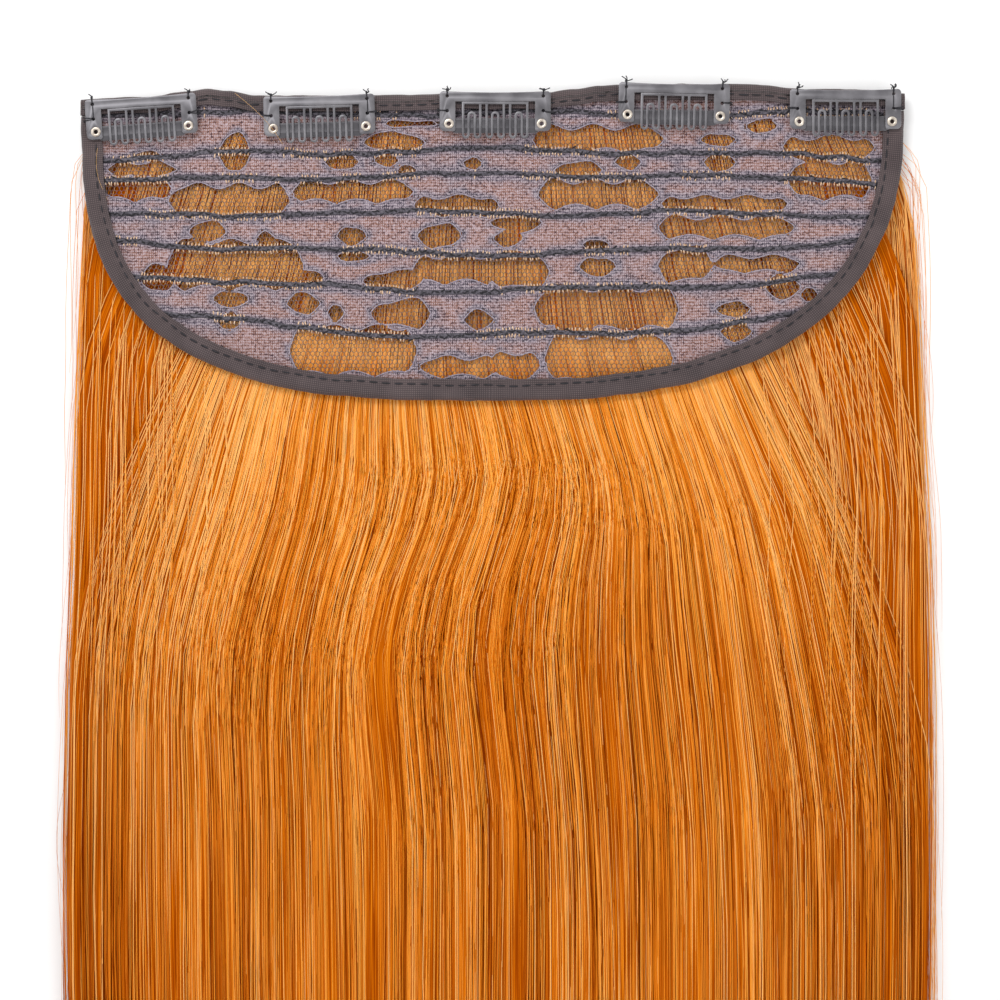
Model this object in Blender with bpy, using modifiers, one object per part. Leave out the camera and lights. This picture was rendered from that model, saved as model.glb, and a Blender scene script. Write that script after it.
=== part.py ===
# Clip-in hair extension: a half-moon of lace with bound edges, hair hanging from it in four sewn tiers,
# and five snap comb clips along its straight edge.
# Metres, +Z up. It lies hair side down with its clips upwards, and the straight edge towards +Y.
# Plan positions are worked out with x from the middle of the lace base and y from the line of its straight
# edge, and one empty then carries everything to the origin, under the middle of the whole piece.
import math
import random

import bpy
import bmesh

MM = 0.001

# Lace base
BASE_WIDTH = 240.3 * MM
BASE_HEIGHT = 89.5 * MM
LEFT_FULLNESS = 3.05        # exponents of the superellipse that the curved edge follows
RIGHT_FULLNESS = 2.6
LACE_THICKNESS = 1.0 * MM
LACE_COLUMNS = 16
LACE_UPPER_LINE = 0.75      # flat line above the second row, as a share of that row's depth
LACE_LOWER_LINES = (0.83, 0.93)     # flat lines below the last row, as shares of the base's height
LACE_LOWER_RISE = 0.06      # how far those lines rise at their ends, as a share of the base's height
EDGE_WAVE = 3.2 * MM        # how far the straight edge waves out of line
SEAM_HEIGHT = 0.5 * MM      # ridge of lace over each sewn row
SEAM_WIDTH = 2.0 * MM
SEAM_WANDER = 0.6 * MM
SEAM_WANDER_PITCH = 82 * MM
SEAM_PHASE = 9              # radians from one row's waves to the next, for each share of depth

# Binding, a folded strip that holds the lace edge between two leaves
BINDING_LEAF = 1.0 * MM
BINDING_GAP = 0.35 * MM     # between a leaf and the lace
CURVED_BINDING_WIDTH = 6.3 * MM
TOP_BINDING_WIDTH = 4.9 * MM
CURVED_BINDING_STATIONS = 44
TOP_BINDING_STATIONS = 24
TANGENT_STEP = 0.01         # radians of the curved edge either side of a point, to find its direction

# Hair
HAIR_WIDTH = 253.5 * MM
HAIR_LENGTH = 406 * MM      # from the lowest sewn hair to the tips
LOWEST_HAIR = 0.905         # depth of the lowest sewn hair, as a share of the base's height
HAIR_SHIFT = 1.5 * MM       # the fall of hair lies this far to the right of the base
TIER_THICKNESS = 1.4 * MM
TIP_THICKNESS = 0.8 * MM
TAPER_START = 250 * MM      # below the straight edge
RIB_DEPTH = 0.4 * MM
TIP_NOTCH = 9 * MM
TIP_SCATTER = 8 * MM
FAN_ANGLE = math.radians(18)
HEAD_LENGTH = 3.0 * MM
HEAD_FOOT = 2.0 * MM
LOCK_WANDER = 1.0 * MM
LOCK_WANDER_PITCH = 160 * MM
LOCK_PHASE = 4              # radians from the middle lock's waves to the outermost one's
LOCK_VARIATION = 0.25       # how far a lock's edge strays, as a share of the lock's half width

# Room between pieces
PIECE_GAP = 0.3 * MM
METAL_GAP = 0.12 * MM
CLIP_CLEARANCE = 0.2 * MM

# Snap comb clip, y downwards from the top edge of its band
CLIP_WIDTH = 32.4 * MM
STEEL = 0.5 * MM
BAR_STEEL = 0.4 * MM
BAND_HEIGHT = 3.0 * MM
BAND_HOLLOW = 0.4 * MM      # the band's top edge is slightly hollow
COMB_SPINE = 0.7 * MM
EAR_WIDTH = 4.6 * MM
EAR_DROP = 11.7 * MM
EAR_CORNER = 1.5 * MM
BAND_CORNER = 1.1 * MM
SEWING_HOLE = 0.5 * MM      # radius
UPPER_HOLE_DROP = 1.4 * MM
LOWER_HOLE_DROP = 5.7 * MM
SEWING_HOLE_INSET = 2.2 * MM
RIVET_DROP = 9.5 * MM
RIVET_INSET = 2.7 * MM
RIVET_RADIUS = 1.45 * MM
RIVET_BARREL = 0.9 * MM
RIVET_BORE = 0.6 * MM
RIVET_FLANGE = 0.25 * MM
BAR_END_RADIUS = 1.64 * MM  # round each rivet
BAR_BOTTOM_DROP = 12.2 * MM
TOOTH_COUNT = 3             # M-shaped loops of strip
TOOTH_PITCH = 6.85 * MM
TIP_SPACING = 3.4 * MM      # between the two tips of one loop
STRIP_WIDTH = 0.7 * MM
TIP_RADIUS = 1.15 * MM      # outside radius of a tip
ARCH_DROP = 5.9 * MM        # top of the inner arch
TIP_DROP = 13.8 * MM

# The straight edge's wave: along the half width, and rise as a share of EDGE_WAVE
TOP_EDGE = (
    # along, rise
    (-1.00, -0.45), (-0.94, -0.32), (-0.85, -0.28), (-0.735, 0.25), (-0.69, 0.52), (-0.64, 0.36),
    (-0.58, -0.10), (-0.27, -0.10), (-0.10, 0.12), (0.13, 0.14), (0.20, 0.45), (0.26, 0.80), (0.31, 0.95),
    (0.57, 0.98), (0.66, 0.85), (0.72, 0.60), (0.80, 0.45), (0.94, 0.40), (1.00, 0.10),
)

# Sewn rows of the base, as shares of its height: depth at the middle, and rise of the ends
SEWN_ROWS = {
    # row: (depth, end_rise)
    "second": (0.182, -0.036),
    "third": (0.266, -0.023),
    "fourth": (0.390, -0.011),
    "fifth": (0.520, 0.050),
    "sixth": (0.642, 0.067),
    "seventh": (0.788, 0.117),
}

# Depth, as a share of the base's height, at which the base lies over one tier more
BASE_STEPS = (0.205, 0.280, 0.458, 0.648)
STEP_ROUNDING = 4 * MM

# Side edges of the fall of hair: depth as a share of HAIR_LENGTH, edges as shares of half HAIR_WIDTH
HAIR_EDGES = (
    # depth, left, right
    (0.00, 0.948, 0.948), (0.06, 0.955, 0.962), (0.18, 0.966, 0.976), (0.24, 0.975, 0.981),
    (0.32, 0.978, 0.992), (0.44, 0.993, 1.000), (0.57, 1.000, 0.998), (0.90, 0.975, 0.985),
    (1.20, 0.900, 0.930),
)

# Stations down each tier past its head, as shares of HAIR_LENGTH
HAIR_STATIONS = (0.08, 0.15, 0.25, 0.35, 0.47, 0.62, 0.98)

# Tiers of hair, from the floor up: the sewn row each hangs from, its locks, and how far short its tips stop
TIERS = (
    # name, row, locks, shorter
    ("hair_tier_1", None, 15, 0.000),
    ("hair_tier_2", "third", 8, 0.012),
    ("hair_tier_3", "fifth", 8, 0.022),
    ("hair_tier_4", "seventh", 15, 0.008),
)

# Clips: along the half width, rise of the band's top as a share of EDGE_WAVE, turn in degrees
CLIPS = (
    # along, rise, turn
    (-0.853, -0.25, 3.9),
    (-0.421, -0.13, 1.6),
    (0.006, 0.22, 0.0),
    (0.440, 0.97, -1.1),
    (0.855, 0.42, 0.0),
)

COLOURS = {
    # finish: red, green, blue, roughness, metallic
    "lace": (0.12, 0.08, 0.09, 0.85, 0.0),
    "binding": (0.07, 0.05, 0.055, 0.7, 0.0),
    "hair": (0.62, 0.22, 0.03, 0.4, 0.0),
    "painted_steel": (0.11, 0.105, 0.11, 0.4, 0.6),
    "eyelet": (0.62, 0.57, 0.52, 0.35, 0.8),
}

HALF_BASE = BASE_WIDTH / 2
HALF_CLIP = CLIP_WIDTH / 2
HAIR_END = BASE_HEIGHT * LOWEST_HAIR + HAIR_LENGTH
SEAM_DROP = BAND_HEIGHT + METAL_GAP / 2


def clear_scene():
    for item in list(bpy.data.objects):
        bpy.data.objects.remove(item, do_unlink=True)


def make_material(name):
    red, green, blue, roughness, metallic = COLOURS[name]
    material = bpy.data.materials.new(name)
    material.use_nodes = True
    shader = material.node_tree.nodes["Principled BSDF"]
    shader.inputs["Base Color"].default_value = (red, green, blue, 1)
    shader.inputs["Roughness"].default_value = roughness
    shader.inputs["Metallic"].default_value = metallic
    return material


def read_table(rows, at, column):
    # Eased reading between two rows of a table whose first column rises.
    if at <= rows[0][0]:
        return rows[0][column]
    for low, high in zip(rows, rows[1:]):
        if at <= high[0]:
            share = (at - low[0]) / (high[0] - low[0])
            ease = share * share * (3 - 2 * share)
            return low[column] + (high[column] - low[column]) * ease
    return rows[-1][column]


def top_edge(x):
    return EDGE_WAVE * read_table(TOP_EDGE, x / HALF_BASE, 1)


def half_width(depth, side, inset=0.0):
    # Half the base's width at a depth, on the side -1 or 1, less an inset square to the curved edge.
    fullness = LEFT_FULLNESS if side < 0 else RIGHT_FULLNESS
    share = min(max(depth / BASE_HEIGHT, 0.001), 0.999)
    across = (1 - share ** fullness) ** (1 / fullness)
    slope = (HALF_BASE / BASE_HEIGHT) * (share / across) ** (fullness - 1)
    return max(HALF_BASE * across - inset * math.hypot(1, slope), HALF_BASE / 10)


def curved_edge(angle):
    # A point of the curved edge: 0 at the right end of the straight edge, pi at its left end.
    across, down = math.cos(angle), math.sin(angle)
    fullness = LEFT_FULLNESS if across < 0 else RIGHT_FULLNESS
    x = math.copysign(HALF_BASE * abs(across) ** (2 / fullness), across)
    return x, -BASE_HEIGHT * abs(down) ** (2 / fullness)


def edge_angle(depth, side):
    fullness = LEFT_FULLNESS if side < 0 else RIGHT_FULLNESS
    angle = math.asin((depth / BASE_HEIGHT) ** (fullness / 2))
    return math.pi - angle if side < 0 else angle


def tier_pitch(depth):
    # Height taken by one tier and the gap over it, at a depth below the straight edge.
    share = min(max((depth - TAPER_START) / (HAIR_END - TAPER_START), 0), 1)
    return TIER_THICKNESS + (TIP_THICKNESS - TIER_THICKNESS) * share + PIECE_GAP


def lace_underside(y):
    # The base lies flat under the clips and climbs over one tier of hair after another.
    levels = [(step * BASE_HEIGHT, number + 1) for number, step in enumerate(BASE_STEPS)]
    total = 0.0
    samples = 7
    for index in range(samples):
        depth = -y + STEP_ROUNDING * (2 * index / (samples - 1) - 1)
        count = levels[0][1]
        for low, high in zip(levels, levels[1:]):
            share = min(max((depth - low[0]) / (high[0] - low[0]), 0), 1)
            count += share
        total += count
    pile = total / samples * (TIER_THICKNESS + PIECE_GAP)
    return pile + BINDING_LEAF + BINDING_GAP


def sewn_row(row, x):
    # The y of a sewn row of the base at x.
    depth, end_rise = SEWN_ROWS[row]
    wander = SEAM_WANDER * math.sin(2 * math.pi * x / SEAM_WANDER_PITCH + SEAM_PHASE * depth)
    return BASE_HEIGHT * (end_rise * (x / HALF_BASE) ** 2 - depth) + wander


def row_end(line, inset, side):
    # Where the line y = line(x) meets the curved edge, moved in by the inset.
    x = side * half_width(-line(0), side, inset)
    for _ in range(60):
        x += 0.3 * (side * half_width(-line(x), side, inset) - x)
    return x


def finish_object(name, mesh, finish, parent, sharp=40):
    item = bpy.data.objects.new(name, mesh)
    collection.objects.link(item)
    item.data.materials.append(materials[finish])
    item.parent = parent
    if sharp:
        mesh.shade_smooth()
        mesh.set_sharp_from_angle(angle=math.radians(sharp))
    return item


def grid_mesh(name, columns, rows, place):
    # A grid of faces whose corners go where place(column, row) says.
    shape = bmesh.new()
    bmesh.ops.create_grid(shape, x_segments=columns - 1, y_segments=rows - 1, size=1)
    for vert in shape.verts:
        column = round((vert.co.x + 1) / 2 * (columns - 1))
        row = round((1 - vert.co.y) / 2 * (rows - 1))
        vert.co = place(column, row)
    mesh = bpy.data.meshes.new(name)
    bmesh.ops.recalc_face_normals(shape, faces=shape.faces)
    if sum(face.normal.z for face in shape.faces) < 0:
        bmesh.ops.reverse_faces(shape, faces=shape.faces)
    shape.to_mesh(mesh)
    shape.free()
    return mesh


def add_wall(item, thickness, offset):
    wall = item.modifiers.new("Wall", "SOLIDIFY")
    wall.thickness = thickness
    wall.offset = offset
    wall.use_even_offset = True


def make_lace_panel():
    inset = BINDING_LEAF + BINDING_GAP + PIECE_GAP
    foot = SEAM_WIDTH / 2
    lines = [(lambda x: top_edge(x) - inset - EDGE_WAVE / 4, 0.0)]
    lines.append((lambda x: -TOP_BINDING_WIDTH, 0.0))
    lines.append((lambda x: LACE_UPPER_LINE * sewn_row("second", x), 0.0))
    for row in SEWN_ROWS:
        for offset, height in ((foot, 0.0), (0.0, SEAM_HEIGHT), (-foot, 0.0)):
            lines.append((lambda x, row=row, offset=offset: sewn_row(row, x) + offset, height))
    for low in LACE_LOWER_LINES:
        lines.append((lambda x, low=low: BASE_HEIGHT * (LACE_LOWER_RISE * (x / HALF_BASE) ** 2 - low), 0.0))
    lines.append((lambda x: inset + PIECE_GAP - BASE_HEIGHT, 0.0))
    reaches = [(reach, side) for reach in (inset, CURVED_BINDING_WIDTH + PIECE_GAP) for side in (-1, 1)]
    ends = [[row_end(line, reach, side) for reach, side in reaches] for line, _ in lines]

    def place(column, row):
        # The outermost faces lie between the binding's leaves, where no ridge reaches.
        line, height = lines[row]
        outer_left, outer_right, left, right = ends[row]
        from_right = LACE_COLUMNS - 1 - column
        x = left + (right - left) * (column - 1) / (LACE_COLUMNS - 3)
        if column == 0 or from_right == 0:
            x = outer_left if column == 0 else outer_right
        if min(column, from_right) < 2:
            height = 0.0
        y = line(x)
        return x, y, lace_underside(y) + LACE_THICKNESS + height

    mesh = grid_mesh("lace_panel", LACE_COLUMNS, len(lines), place)
    panel = finish_object("lace_panel", mesh, "lace", base)
    add_wall(panel, LACE_THICKNESS, -1)


def binding_section(width):
    # Outer face of the fold from the upper leaf's inner edge round to the lower leaf's, as inset and height.
    reach = LACE_THICKNESS / 2 + BINDING_GAP + BINDING_LEAF
    round_off = BINDING_LEAF / 2
    return (
        (width, reach), (round_off, reach), (0.0, reach - round_off),
        (0.0, round_off - reach), (round_off, -reach), (width, -reach),
    )


def make_binding(name, stations, width, station_point):
    section = binding_section(width)

    def place(column, row):
        inset, height = section[row]
        x, y = station_point(column / (stations - 1), inset)
        return x, y, lace_underside(y) + LACE_THICKNESS / 2 + height

    mesh = grid_mesh(name, stations, len(section), place)
    binding = finish_object(name, mesh, "binding", base, sharp=50)
    top_face = max(mesh.polygons, key=lambda face: face.center.z - lace_underside(face.center.y))
    add_wall(binding, BINDING_LEAF, -1 if top_face.normal.z > 0 else 1)


def make_bindings():
    def end_depth(side):
        inner = side * (HALF_BASE - CURVED_BINDING_WIDTH)
        lowest = min(top_edge(side * HALF_BASE), top_edge(inner))
        return TOP_BINDING_WIDTH + PIECE_GAP - lowest

    first, last = edge_angle(end_depth(1), 1), edge_angle(end_depth(-1), -1)

    def along_curve(share, inset):
        angle = first + (last - first) * share
        x, y = curved_edge(angle)
        ahead, behind = curved_edge(angle + TANGENT_STEP), curved_edge(angle - TANGENT_STEP)
        run_x, run_y = ahead[0] - behind[0], ahead[1] - behind[1]
        length = math.hypot(run_x, run_y)
        return x + inset * run_y / length, y - inset * run_x / length

    def along_top(share, inset):
        x = HALF_BASE * (2 * share - 1)
        return x, top_edge(x) - inset

    make_binding("curved_binding", CURVED_BINDING_STATIONS, CURVED_BINDING_WIDTH, along_curve)
    make_binding("top_binding", TOP_BINDING_STATIONS, TOP_BINDING_WIDTH, along_top)


def hair_edge(depth, side):
    column = 1 if side < 0 else 2
    share = read_table(HAIR_EDGES, depth / HAIR_LENGTH, column)
    return side * share * HAIR_WIDTH / 2 + HAIR_SHIFT


def make_tier(index, name, row, locks, shorter):
    # A curtain of locks, flat below, hanging from a head that reaches up to the lace.
    draw = random.Random(index + 3)
    columns = 2 * locks + 1
    if row is None:
        def head_line(x):
            return top_edge(x) - TOP_BINDING_WIDTH - PIECE_GAP - HEAD_FOOT / 4
    else:
        def head_line(x):
            return sewn_row(row, x) + HEAD_LENGTH / 2
    inset = CURVED_BINDING_WIDTH + 2 * PIECE_GAP
    root = {side: row_end(lambda x: head_line(x) - HEAD_LENGTH - HEAD_FOOT, inset, side) for side in (-1, 1)}
    deepest = max(-head_line(0), -head_line(root[1]), -head_line(root[-1])) + HEAD_LENGTH + HEAD_FOOT
    depths = [share * HAIR_LENGTH for share in HAIR_STATIONS]
    stations = [depth for depth in depths if depth > deepest + 2 * HEAD_FOOT]
    tips = [HAIR_END - HAIR_LENGTH * shorter - TIP_SCATTER * draw.random() for _ in range(columns)]
    edges = [2 * lock / locks - 1 for lock in range(locks + 1)]
    edges[1:-1] = [edge + LOCK_VARIATION * draw.uniform(-1, 1) / locks for edge in edges[1:-1]]

    def across(column):
        lock = column // 2
        if column % 2 == 0:
            return edges[lock]
        return (edges[lock] + edges[lock + 1]) / 2

    def depth_at(column, row_number, x):
        from_head = (0.0, HEAD_LENGTH, HEAD_LENGTH + HEAD_FOOT)
        if row_number < len(from_head):
            return from_head[row_number] - head_line(x)
        if row_number - len(from_head) < len(stations):
            return stations[row_number - len(from_head)]
        notch = TIP_NOTCH if column % 2 == 0 else 0.0
        return tips[column] - notch

    def plan(column, row_number):
        share = across(column)
        side = -1 if share < 0 else 1
        x = abs(share) * root[side]
        depth = depth_at(column, row_number, x)
        reach = abs(hair_edge(depth, side)) - abs(root[side])
        fan = reach / math.tan(FAN_ANGLE)
        run = max(depth + head_line(x) - HEAD_LENGTH - HEAD_FOOT, 0)
        spread = min(run / fan, 1)
        spread = math.sin(spread * math.pi / 2)
        x += abs(share) * side * reach * spread
        wander = LOCK_WANDER * math.sin(2 * math.pi * depth / LOCK_WANDER_PITCH + LOCK_PHASE * share)
        return x + wander * spread * (1 - share ** 4), -depth

    def place(column, row_number):
        x, y = plan(column, row_number)
        pitch = tier_pitch(-y)
        rise = (index + 1) * pitch - PIECE_GAP
        if row_number < 2:
            rise = lace_underside(y) - PIECE_GAP
        elif column % 2 == 0:
            rise -= RIB_DEPTH
        return x, y, rise

    rows = 3 + len(stations) + 1
    shape = bmesh.new()
    shape.from_mesh(grid_mesh(name, columns, rows, place))
    lower = bmesh.ops.extrude_face_region(shape, geom=shape.faces[:])
    for vert in [item for item in lower["geom"] if isinstance(item, bmesh.types.BMVert)]:
        vert.co.z = index * tier_pitch(-vert.co.y)
    bmesh.ops.recalc_face_normals(shape, faces=shape.faces)
    mesh = bpy.data.meshes.new(name)
    shape.to_mesh(mesh)
    shape.free()
    finish_object(name, mesh, "hair", base)


def arc(centre_x, centre_y, radius, start, end, steps):
    # Points of an arc, in degrees, both ends included.
    points = []
    for index in range(steps + 1):
        angle = math.radians(start + (end - start) * index / steps)
        points.append((centre_x + radius * math.cos(angle), centre_y + radius * math.sin(angle)))
    return points


def flat_piece(name, outlines, thickness, finish, parent, location):
    # A flat outline with its holes, as a filled 2D curve.
    curve = bpy.data.curves.new(name, "CURVE")
    curve.dimensions = "2D"
    curve.fill_mode = "BOTH"
    curve.extrude = thickness / 2
    for outline in outlines:
        spline = curve.splines.new("POLY")
        spline.points.add(len(outline) - 1)
        for point, (x, y) in zip(spline.points, outline):
            point.co = (x, y, 0, 1)
        spline.use_cyclic_u = True
    item = bpy.data.objects.new(name, curve)
    collection.objects.link(item)
    curve.materials.append(materials[finish])
    item.parent = parent
    item.location = location
    return item


def frame_outlines():
    # Band and two ears; x from the clip's middle, y upwards from the snap line below the band.
    ear_inner = HALF_CLIP - EAR_WIDTH
    band_bottom = METAL_GAP / 2
    top = SEAM_DROP
    ear_bottom = SEAM_DROP - EAR_DROP
    outline = arc(-HALF_CLIP + BAND_CORNER, top - BAND_CORNER, BAND_CORNER, 180, 90, 2)
    outline.append((0, top - BAND_HOLLOW))
    outline += arc(HALF_CLIP - BAND_CORNER, top - BAND_CORNER, BAND_CORNER, 90, 0, 2)
    outline += arc(HALF_CLIP - EAR_CORNER, ear_bottom + EAR_CORNER, EAR_CORNER, 0, -90, 3)
    outline += [(ear_inner, ear_bottom), (ear_inner, band_bottom)]
    outline += [(-ear_inner, band_bottom), (-ear_inner, ear_bottom)]
    outline += arc(-HALF_CLIP + EAR_CORNER, ear_bottom + EAR_CORNER, EAR_CORNER, -90, -180, 3)
    outlines = [outline]
    hole_x = HALF_CLIP - SEWING_HOLE_INSET
    for side in (-1, 1):
        for drop in (UPPER_HOLE_DROP, LOWER_HOLE_DROP):
            outlines.append(arc(side * hole_x, SEAM_DROP - drop, SEWING_HOLE, 0, 300, 5))
        outlines.append(rivet_hole(side))
    return outlines


def rivet_hole(side):
    centre = side * (HALF_CLIP - RIVET_INSET)
    return arc(centre, SEAM_DROP - RIVET_DROP, RIVET_BARREL + METAL_GAP, 0, 315, 7)


def comb_outlines():
    # A spine and M-shaped loops of strip, in one closed outline with an opening inside each loop.
    half_strip = STRIP_WIDTH / 2
    leg = TIP_SPACING / 2 + TIP_RADIUS - half_strip
    inner_leg = TIP_SPACING / 2 - TIP_RADIUS + half_strip
    spine_top, spine_bottom = -METAL_GAP / 2, -METAL_GAP / 2 - COMB_SPINE
    tip_centre = SEAM_DROP - TIP_DROP + TIP_RADIUS
    arch_centre = SEAM_DROP - ARCH_DROP - inner_leg - half_strip
    centres = [TOOTH_PITCH * (index - (TOOTH_COUNT - 1) / 2) for index in range(TOOTH_COUNT)]
    half_spine = centres[-1] + leg + half_strip
    outline = [(-half_spine, spine_top), (half_spine, spine_top)]
    openings = []
    for centre in reversed(centres):
        if centre != centres[-1]:
            outline.append((centre + leg + half_strip, spine_bottom))
        outline += arc(centre + TIP_SPACING / 2, tip_centre, TIP_RADIUS, 0, -180, 5)
        outline += arc(centre, arch_centre, inner_leg - half_strip, 0, 180, 4)
        outline += arc(centre - TIP_SPACING / 2, tip_centre, TIP_RADIUS, 0, -180, 5)
        if centre != centres[0]:
            outline.append((centre - leg - half_strip, spine_bottom))
        bore = TIP_RADIUS - STRIP_WIDTH
        opening = [(centre - leg + half_strip, spine_bottom), (centre + leg - half_strip, spine_bottom)]
        opening += arc(centre + TIP_SPACING / 2, tip_centre, bore, 0, -180, 3)
        opening += arc(centre, arch_centre, inner_leg + half_strip, 0, 180, 5)
        opening += arc(centre - TIP_SPACING / 2, tip_centre, bore, 0, -180, 3)
        openings.append(opening[::-1])
    return [outline] + openings


def bar_outlines():
    # The strap behind the teeth. Its lower edge slopes up to a round end under each rivet.
    end_x = HALF_CLIP - RIVET_INSET
    end_y = SEAM_DROP - RIVET_DROP
    shoulder = HALF_CLIP - EAR_WIDTH
    bottom = SEAM_DROP - BAR_BOTTOM_DROP
    outline = [(-shoulder, bottom), (shoulder, bottom)]
    outline += arc(end_x, end_y, BAR_END_RADIUS, -60, 90, 5)
    outline += arc(-end_x, end_y, BAR_END_RADIUS, 90, 240, 5)
    return [outline[::-1], rivet_hole(-1), rivet_hole(1)]


def make_rivet(name, parent, x, low, high):
    # An eyelet turned from half its section.
    flange = high - RIVET_FLANGE
    profile = [
        (RIVET_BORE, high), (RIVET_RADIUS - RIVET_FLANGE / 2, high), (RIVET_RADIUS, flange),
        (RIVET_BARREL, flange), (RIVET_BARREL, low), (RIVET_BORE, low),
    ]
    mesh = bpy.data.meshes.new(name)
    edges = [(index, (index + 1) % len(profile)) for index in range(len(profile))]
    mesh.from_pydata([(radius, 0, z) for radius, z in profile], edges, [])
    rivet = finish_object(name, mesh, "eyelet", parent, sharp=0)
    rivet.location = (x, SEAM_DROP - RIVET_DROP, 0)
    turn = rivet.modifiers.new("Turn", "SCREW")
    turn.steps = 8
    turn.render_steps = 8
    turn.use_merge_vertices = True
    turn.merge_threshold = 0.00001


def make_clip(number, along, rise, turn):
    binding_top = lace_underside(0) + LACE_THICKNESS + BINDING_GAP + BINDING_LEAF
    bar_low = binding_top + CLIP_CLEARANCE
    plate_low = bar_low + BAR_STEEL + METAL_GAP
    plate_top = plate_low + STEEL
    angle = math.radians(turn)
    clip = bpy.data.objects.new("clip_%d_seat" % number, None)
    collection.objects.link(clip)
    clip.parent = base
    seam_y = EDGE_WAVE * rise - SEAM_DROP
    clip.location = (HALF_BASE * along, seam_y, plate_top)
    clip.rotation_euler = (0, 0, angle)
    prefix = "clip_%d_" % number
    plate_z = -STEEL / 2
    flat_piece(prefix + "frame", frame_outlines(), STEEL, "painted_steel", clip, (0, 0, plate_z))
    hinge = bpy.data.objects.new(prefix + "snap_axis", None)
    collection.objects.link(hinge)
    hinge.parent = clip
    flat_piece(prefix + "comb", comb_outlines(), STEEL, "painted_steel", hinge, (0, 0, plate_z))
    bar_z = bar_low + BAR_STEEL / 2 - plate_top
    flat_piece(prefix + "bar", bar_outlines(), BAR_STEEL, "painted_steel", clip, (0, 0, bar_z))
    for side, word in ((-1, "left"), (1, "right")):
        x = side * (HALF_CLIP - RIVET_INSET)
        make_rivet(prefix + "rivet_" + word, clip, x, bar_low - plate_top, METAL_GAP + RIVET_FLANGE)


clear_scene()
collection = bpy.data.collections.new("clip_in_hair_extension")
bpy.context.scene.collection.children.link(collection)
materials = {name: make_material(name) for name in COLOURS}

highest = EDGE_WAVE * max(rise for _, rise, _ in CLIPS)
base = bpy.data.objects.new("base_origin", None)
collection.objects.link(base)
base.location = (-HAIR_SHIFT, (HAIR_END - highest) / 2, 0)

make_lace_panel()
make_bindings()
for index, tier in enumerate(TIERS):
    make_tier(index, *tier)
for number, clip in enumerate(CLIPS, start=1):
    make_clip(number, *clip)
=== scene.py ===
# Clip-in hair extension, dyed copper: a half-moon of stretch lace bound with tape, hair sewn to it in four
# tiers, and five snap comb clips along the straight edge. It lies hair side down, clips up, roots towards +Y.
import math

import bpy
import numpy as np
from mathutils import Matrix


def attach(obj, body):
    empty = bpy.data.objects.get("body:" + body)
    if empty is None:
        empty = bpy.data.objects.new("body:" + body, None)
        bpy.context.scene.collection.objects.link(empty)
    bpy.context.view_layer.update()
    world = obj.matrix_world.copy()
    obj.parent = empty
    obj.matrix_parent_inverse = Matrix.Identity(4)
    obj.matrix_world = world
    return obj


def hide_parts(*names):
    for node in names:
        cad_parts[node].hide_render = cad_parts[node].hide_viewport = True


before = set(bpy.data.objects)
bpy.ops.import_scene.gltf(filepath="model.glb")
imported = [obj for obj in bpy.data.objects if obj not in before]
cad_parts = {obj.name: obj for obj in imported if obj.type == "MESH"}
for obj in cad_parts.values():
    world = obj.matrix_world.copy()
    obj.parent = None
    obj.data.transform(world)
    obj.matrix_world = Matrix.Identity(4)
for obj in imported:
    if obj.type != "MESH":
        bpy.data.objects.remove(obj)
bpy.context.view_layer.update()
print("frame loaded:", len(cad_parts), "nodes")

mm = 0.001
chance = np.random.default_rng(24)

# The base's plan: x from its middle, y from the line of its straight edge, carried into the frame by "seat"
baseShape = {
    "seat": (-1.5 * mm, 241.947 * mm),
    "halfWidth": 120.15 * mm,
    "height": 89.5 * mm,
    "fullness": {-1: 3.05, 1: 2.6},        # superellipse exponents, left and right
    "wave": 3.2 * mm,                      # how far the straight edge waves
    "topEdge": (
        # along the half width, share of the wave
        (-1.00, -0.45), (-0.94, -0.32), (-0.85, -0.28), (-0.735, 0.25), (-0.69, 0.52), (-0.64, 0.36),
        (-0.58, -0.10), (-0.27, -0.10), (-0.10, 0.12), (0.13, 0.14), (0.20, 0.45), (0.26, 0.80), (0.31, 0.95),
        (0.57, 0.98), (0.66, 0.85), (0.72, 0.60), (0.80, 0.45), (0.94, 0.40), (1.00, 0.10),
    ),
    "sewnRows": {
        # depth at the middle and rise of the ends, as shares of the height
        "first": (0.062, 0.0),
        "second": (0.182, -0.036),
        "third": (0.266, -0.023),
        "fourth": (0.390, -0.011),
        "fifth": (0.520, 0.050),
        "sixth": (0.642, 0.067),
        "seventh": (0.788, 0.117),
    },
    "steps": (0.205, 0.280, 0.458, 0.648),  # depths where the base climbs over one tier more
    "stepRounding": 4 * mm,
    "tierThickness": 1.4 * mm,
    "tipThickness": 0.8 * mm,
    "gap": 0.3 * mm,
    "leaf": 1.0 * mm,                      # one leaf of the binding
    "leafGap": 0.35 * mm,
    "lace": 1.0 * mm,
    "curvedBinding": 6.3 * mm,
    "topBinding": 4.9 * mm,
}
seatX, seatY = baseShape["seat"]
halfBase, baseHeight = baseShape["halfWidth"], baseShape["height"]


def readTable(rows, at, column=1):  # eased reading between the rows of a table
    keys = np.array([row[0] for row in rows])
    values = np.array([row[column] for row in rows])
    low = np.clip(np.searchsorted(keys, at) - 1, 0, len(keys) - 2)
    share = np.clip((at - keys[low]) / (keys[low + 1] - keys[low]), 0, 1)
    return values[low] + (values[low + 1] - values[low]) * share * share * (3 - 2 * share)


def topEdge(x):
    return baseShape["wave"] * readTable(baseShape["topEdge"], x / halfBase)


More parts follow.
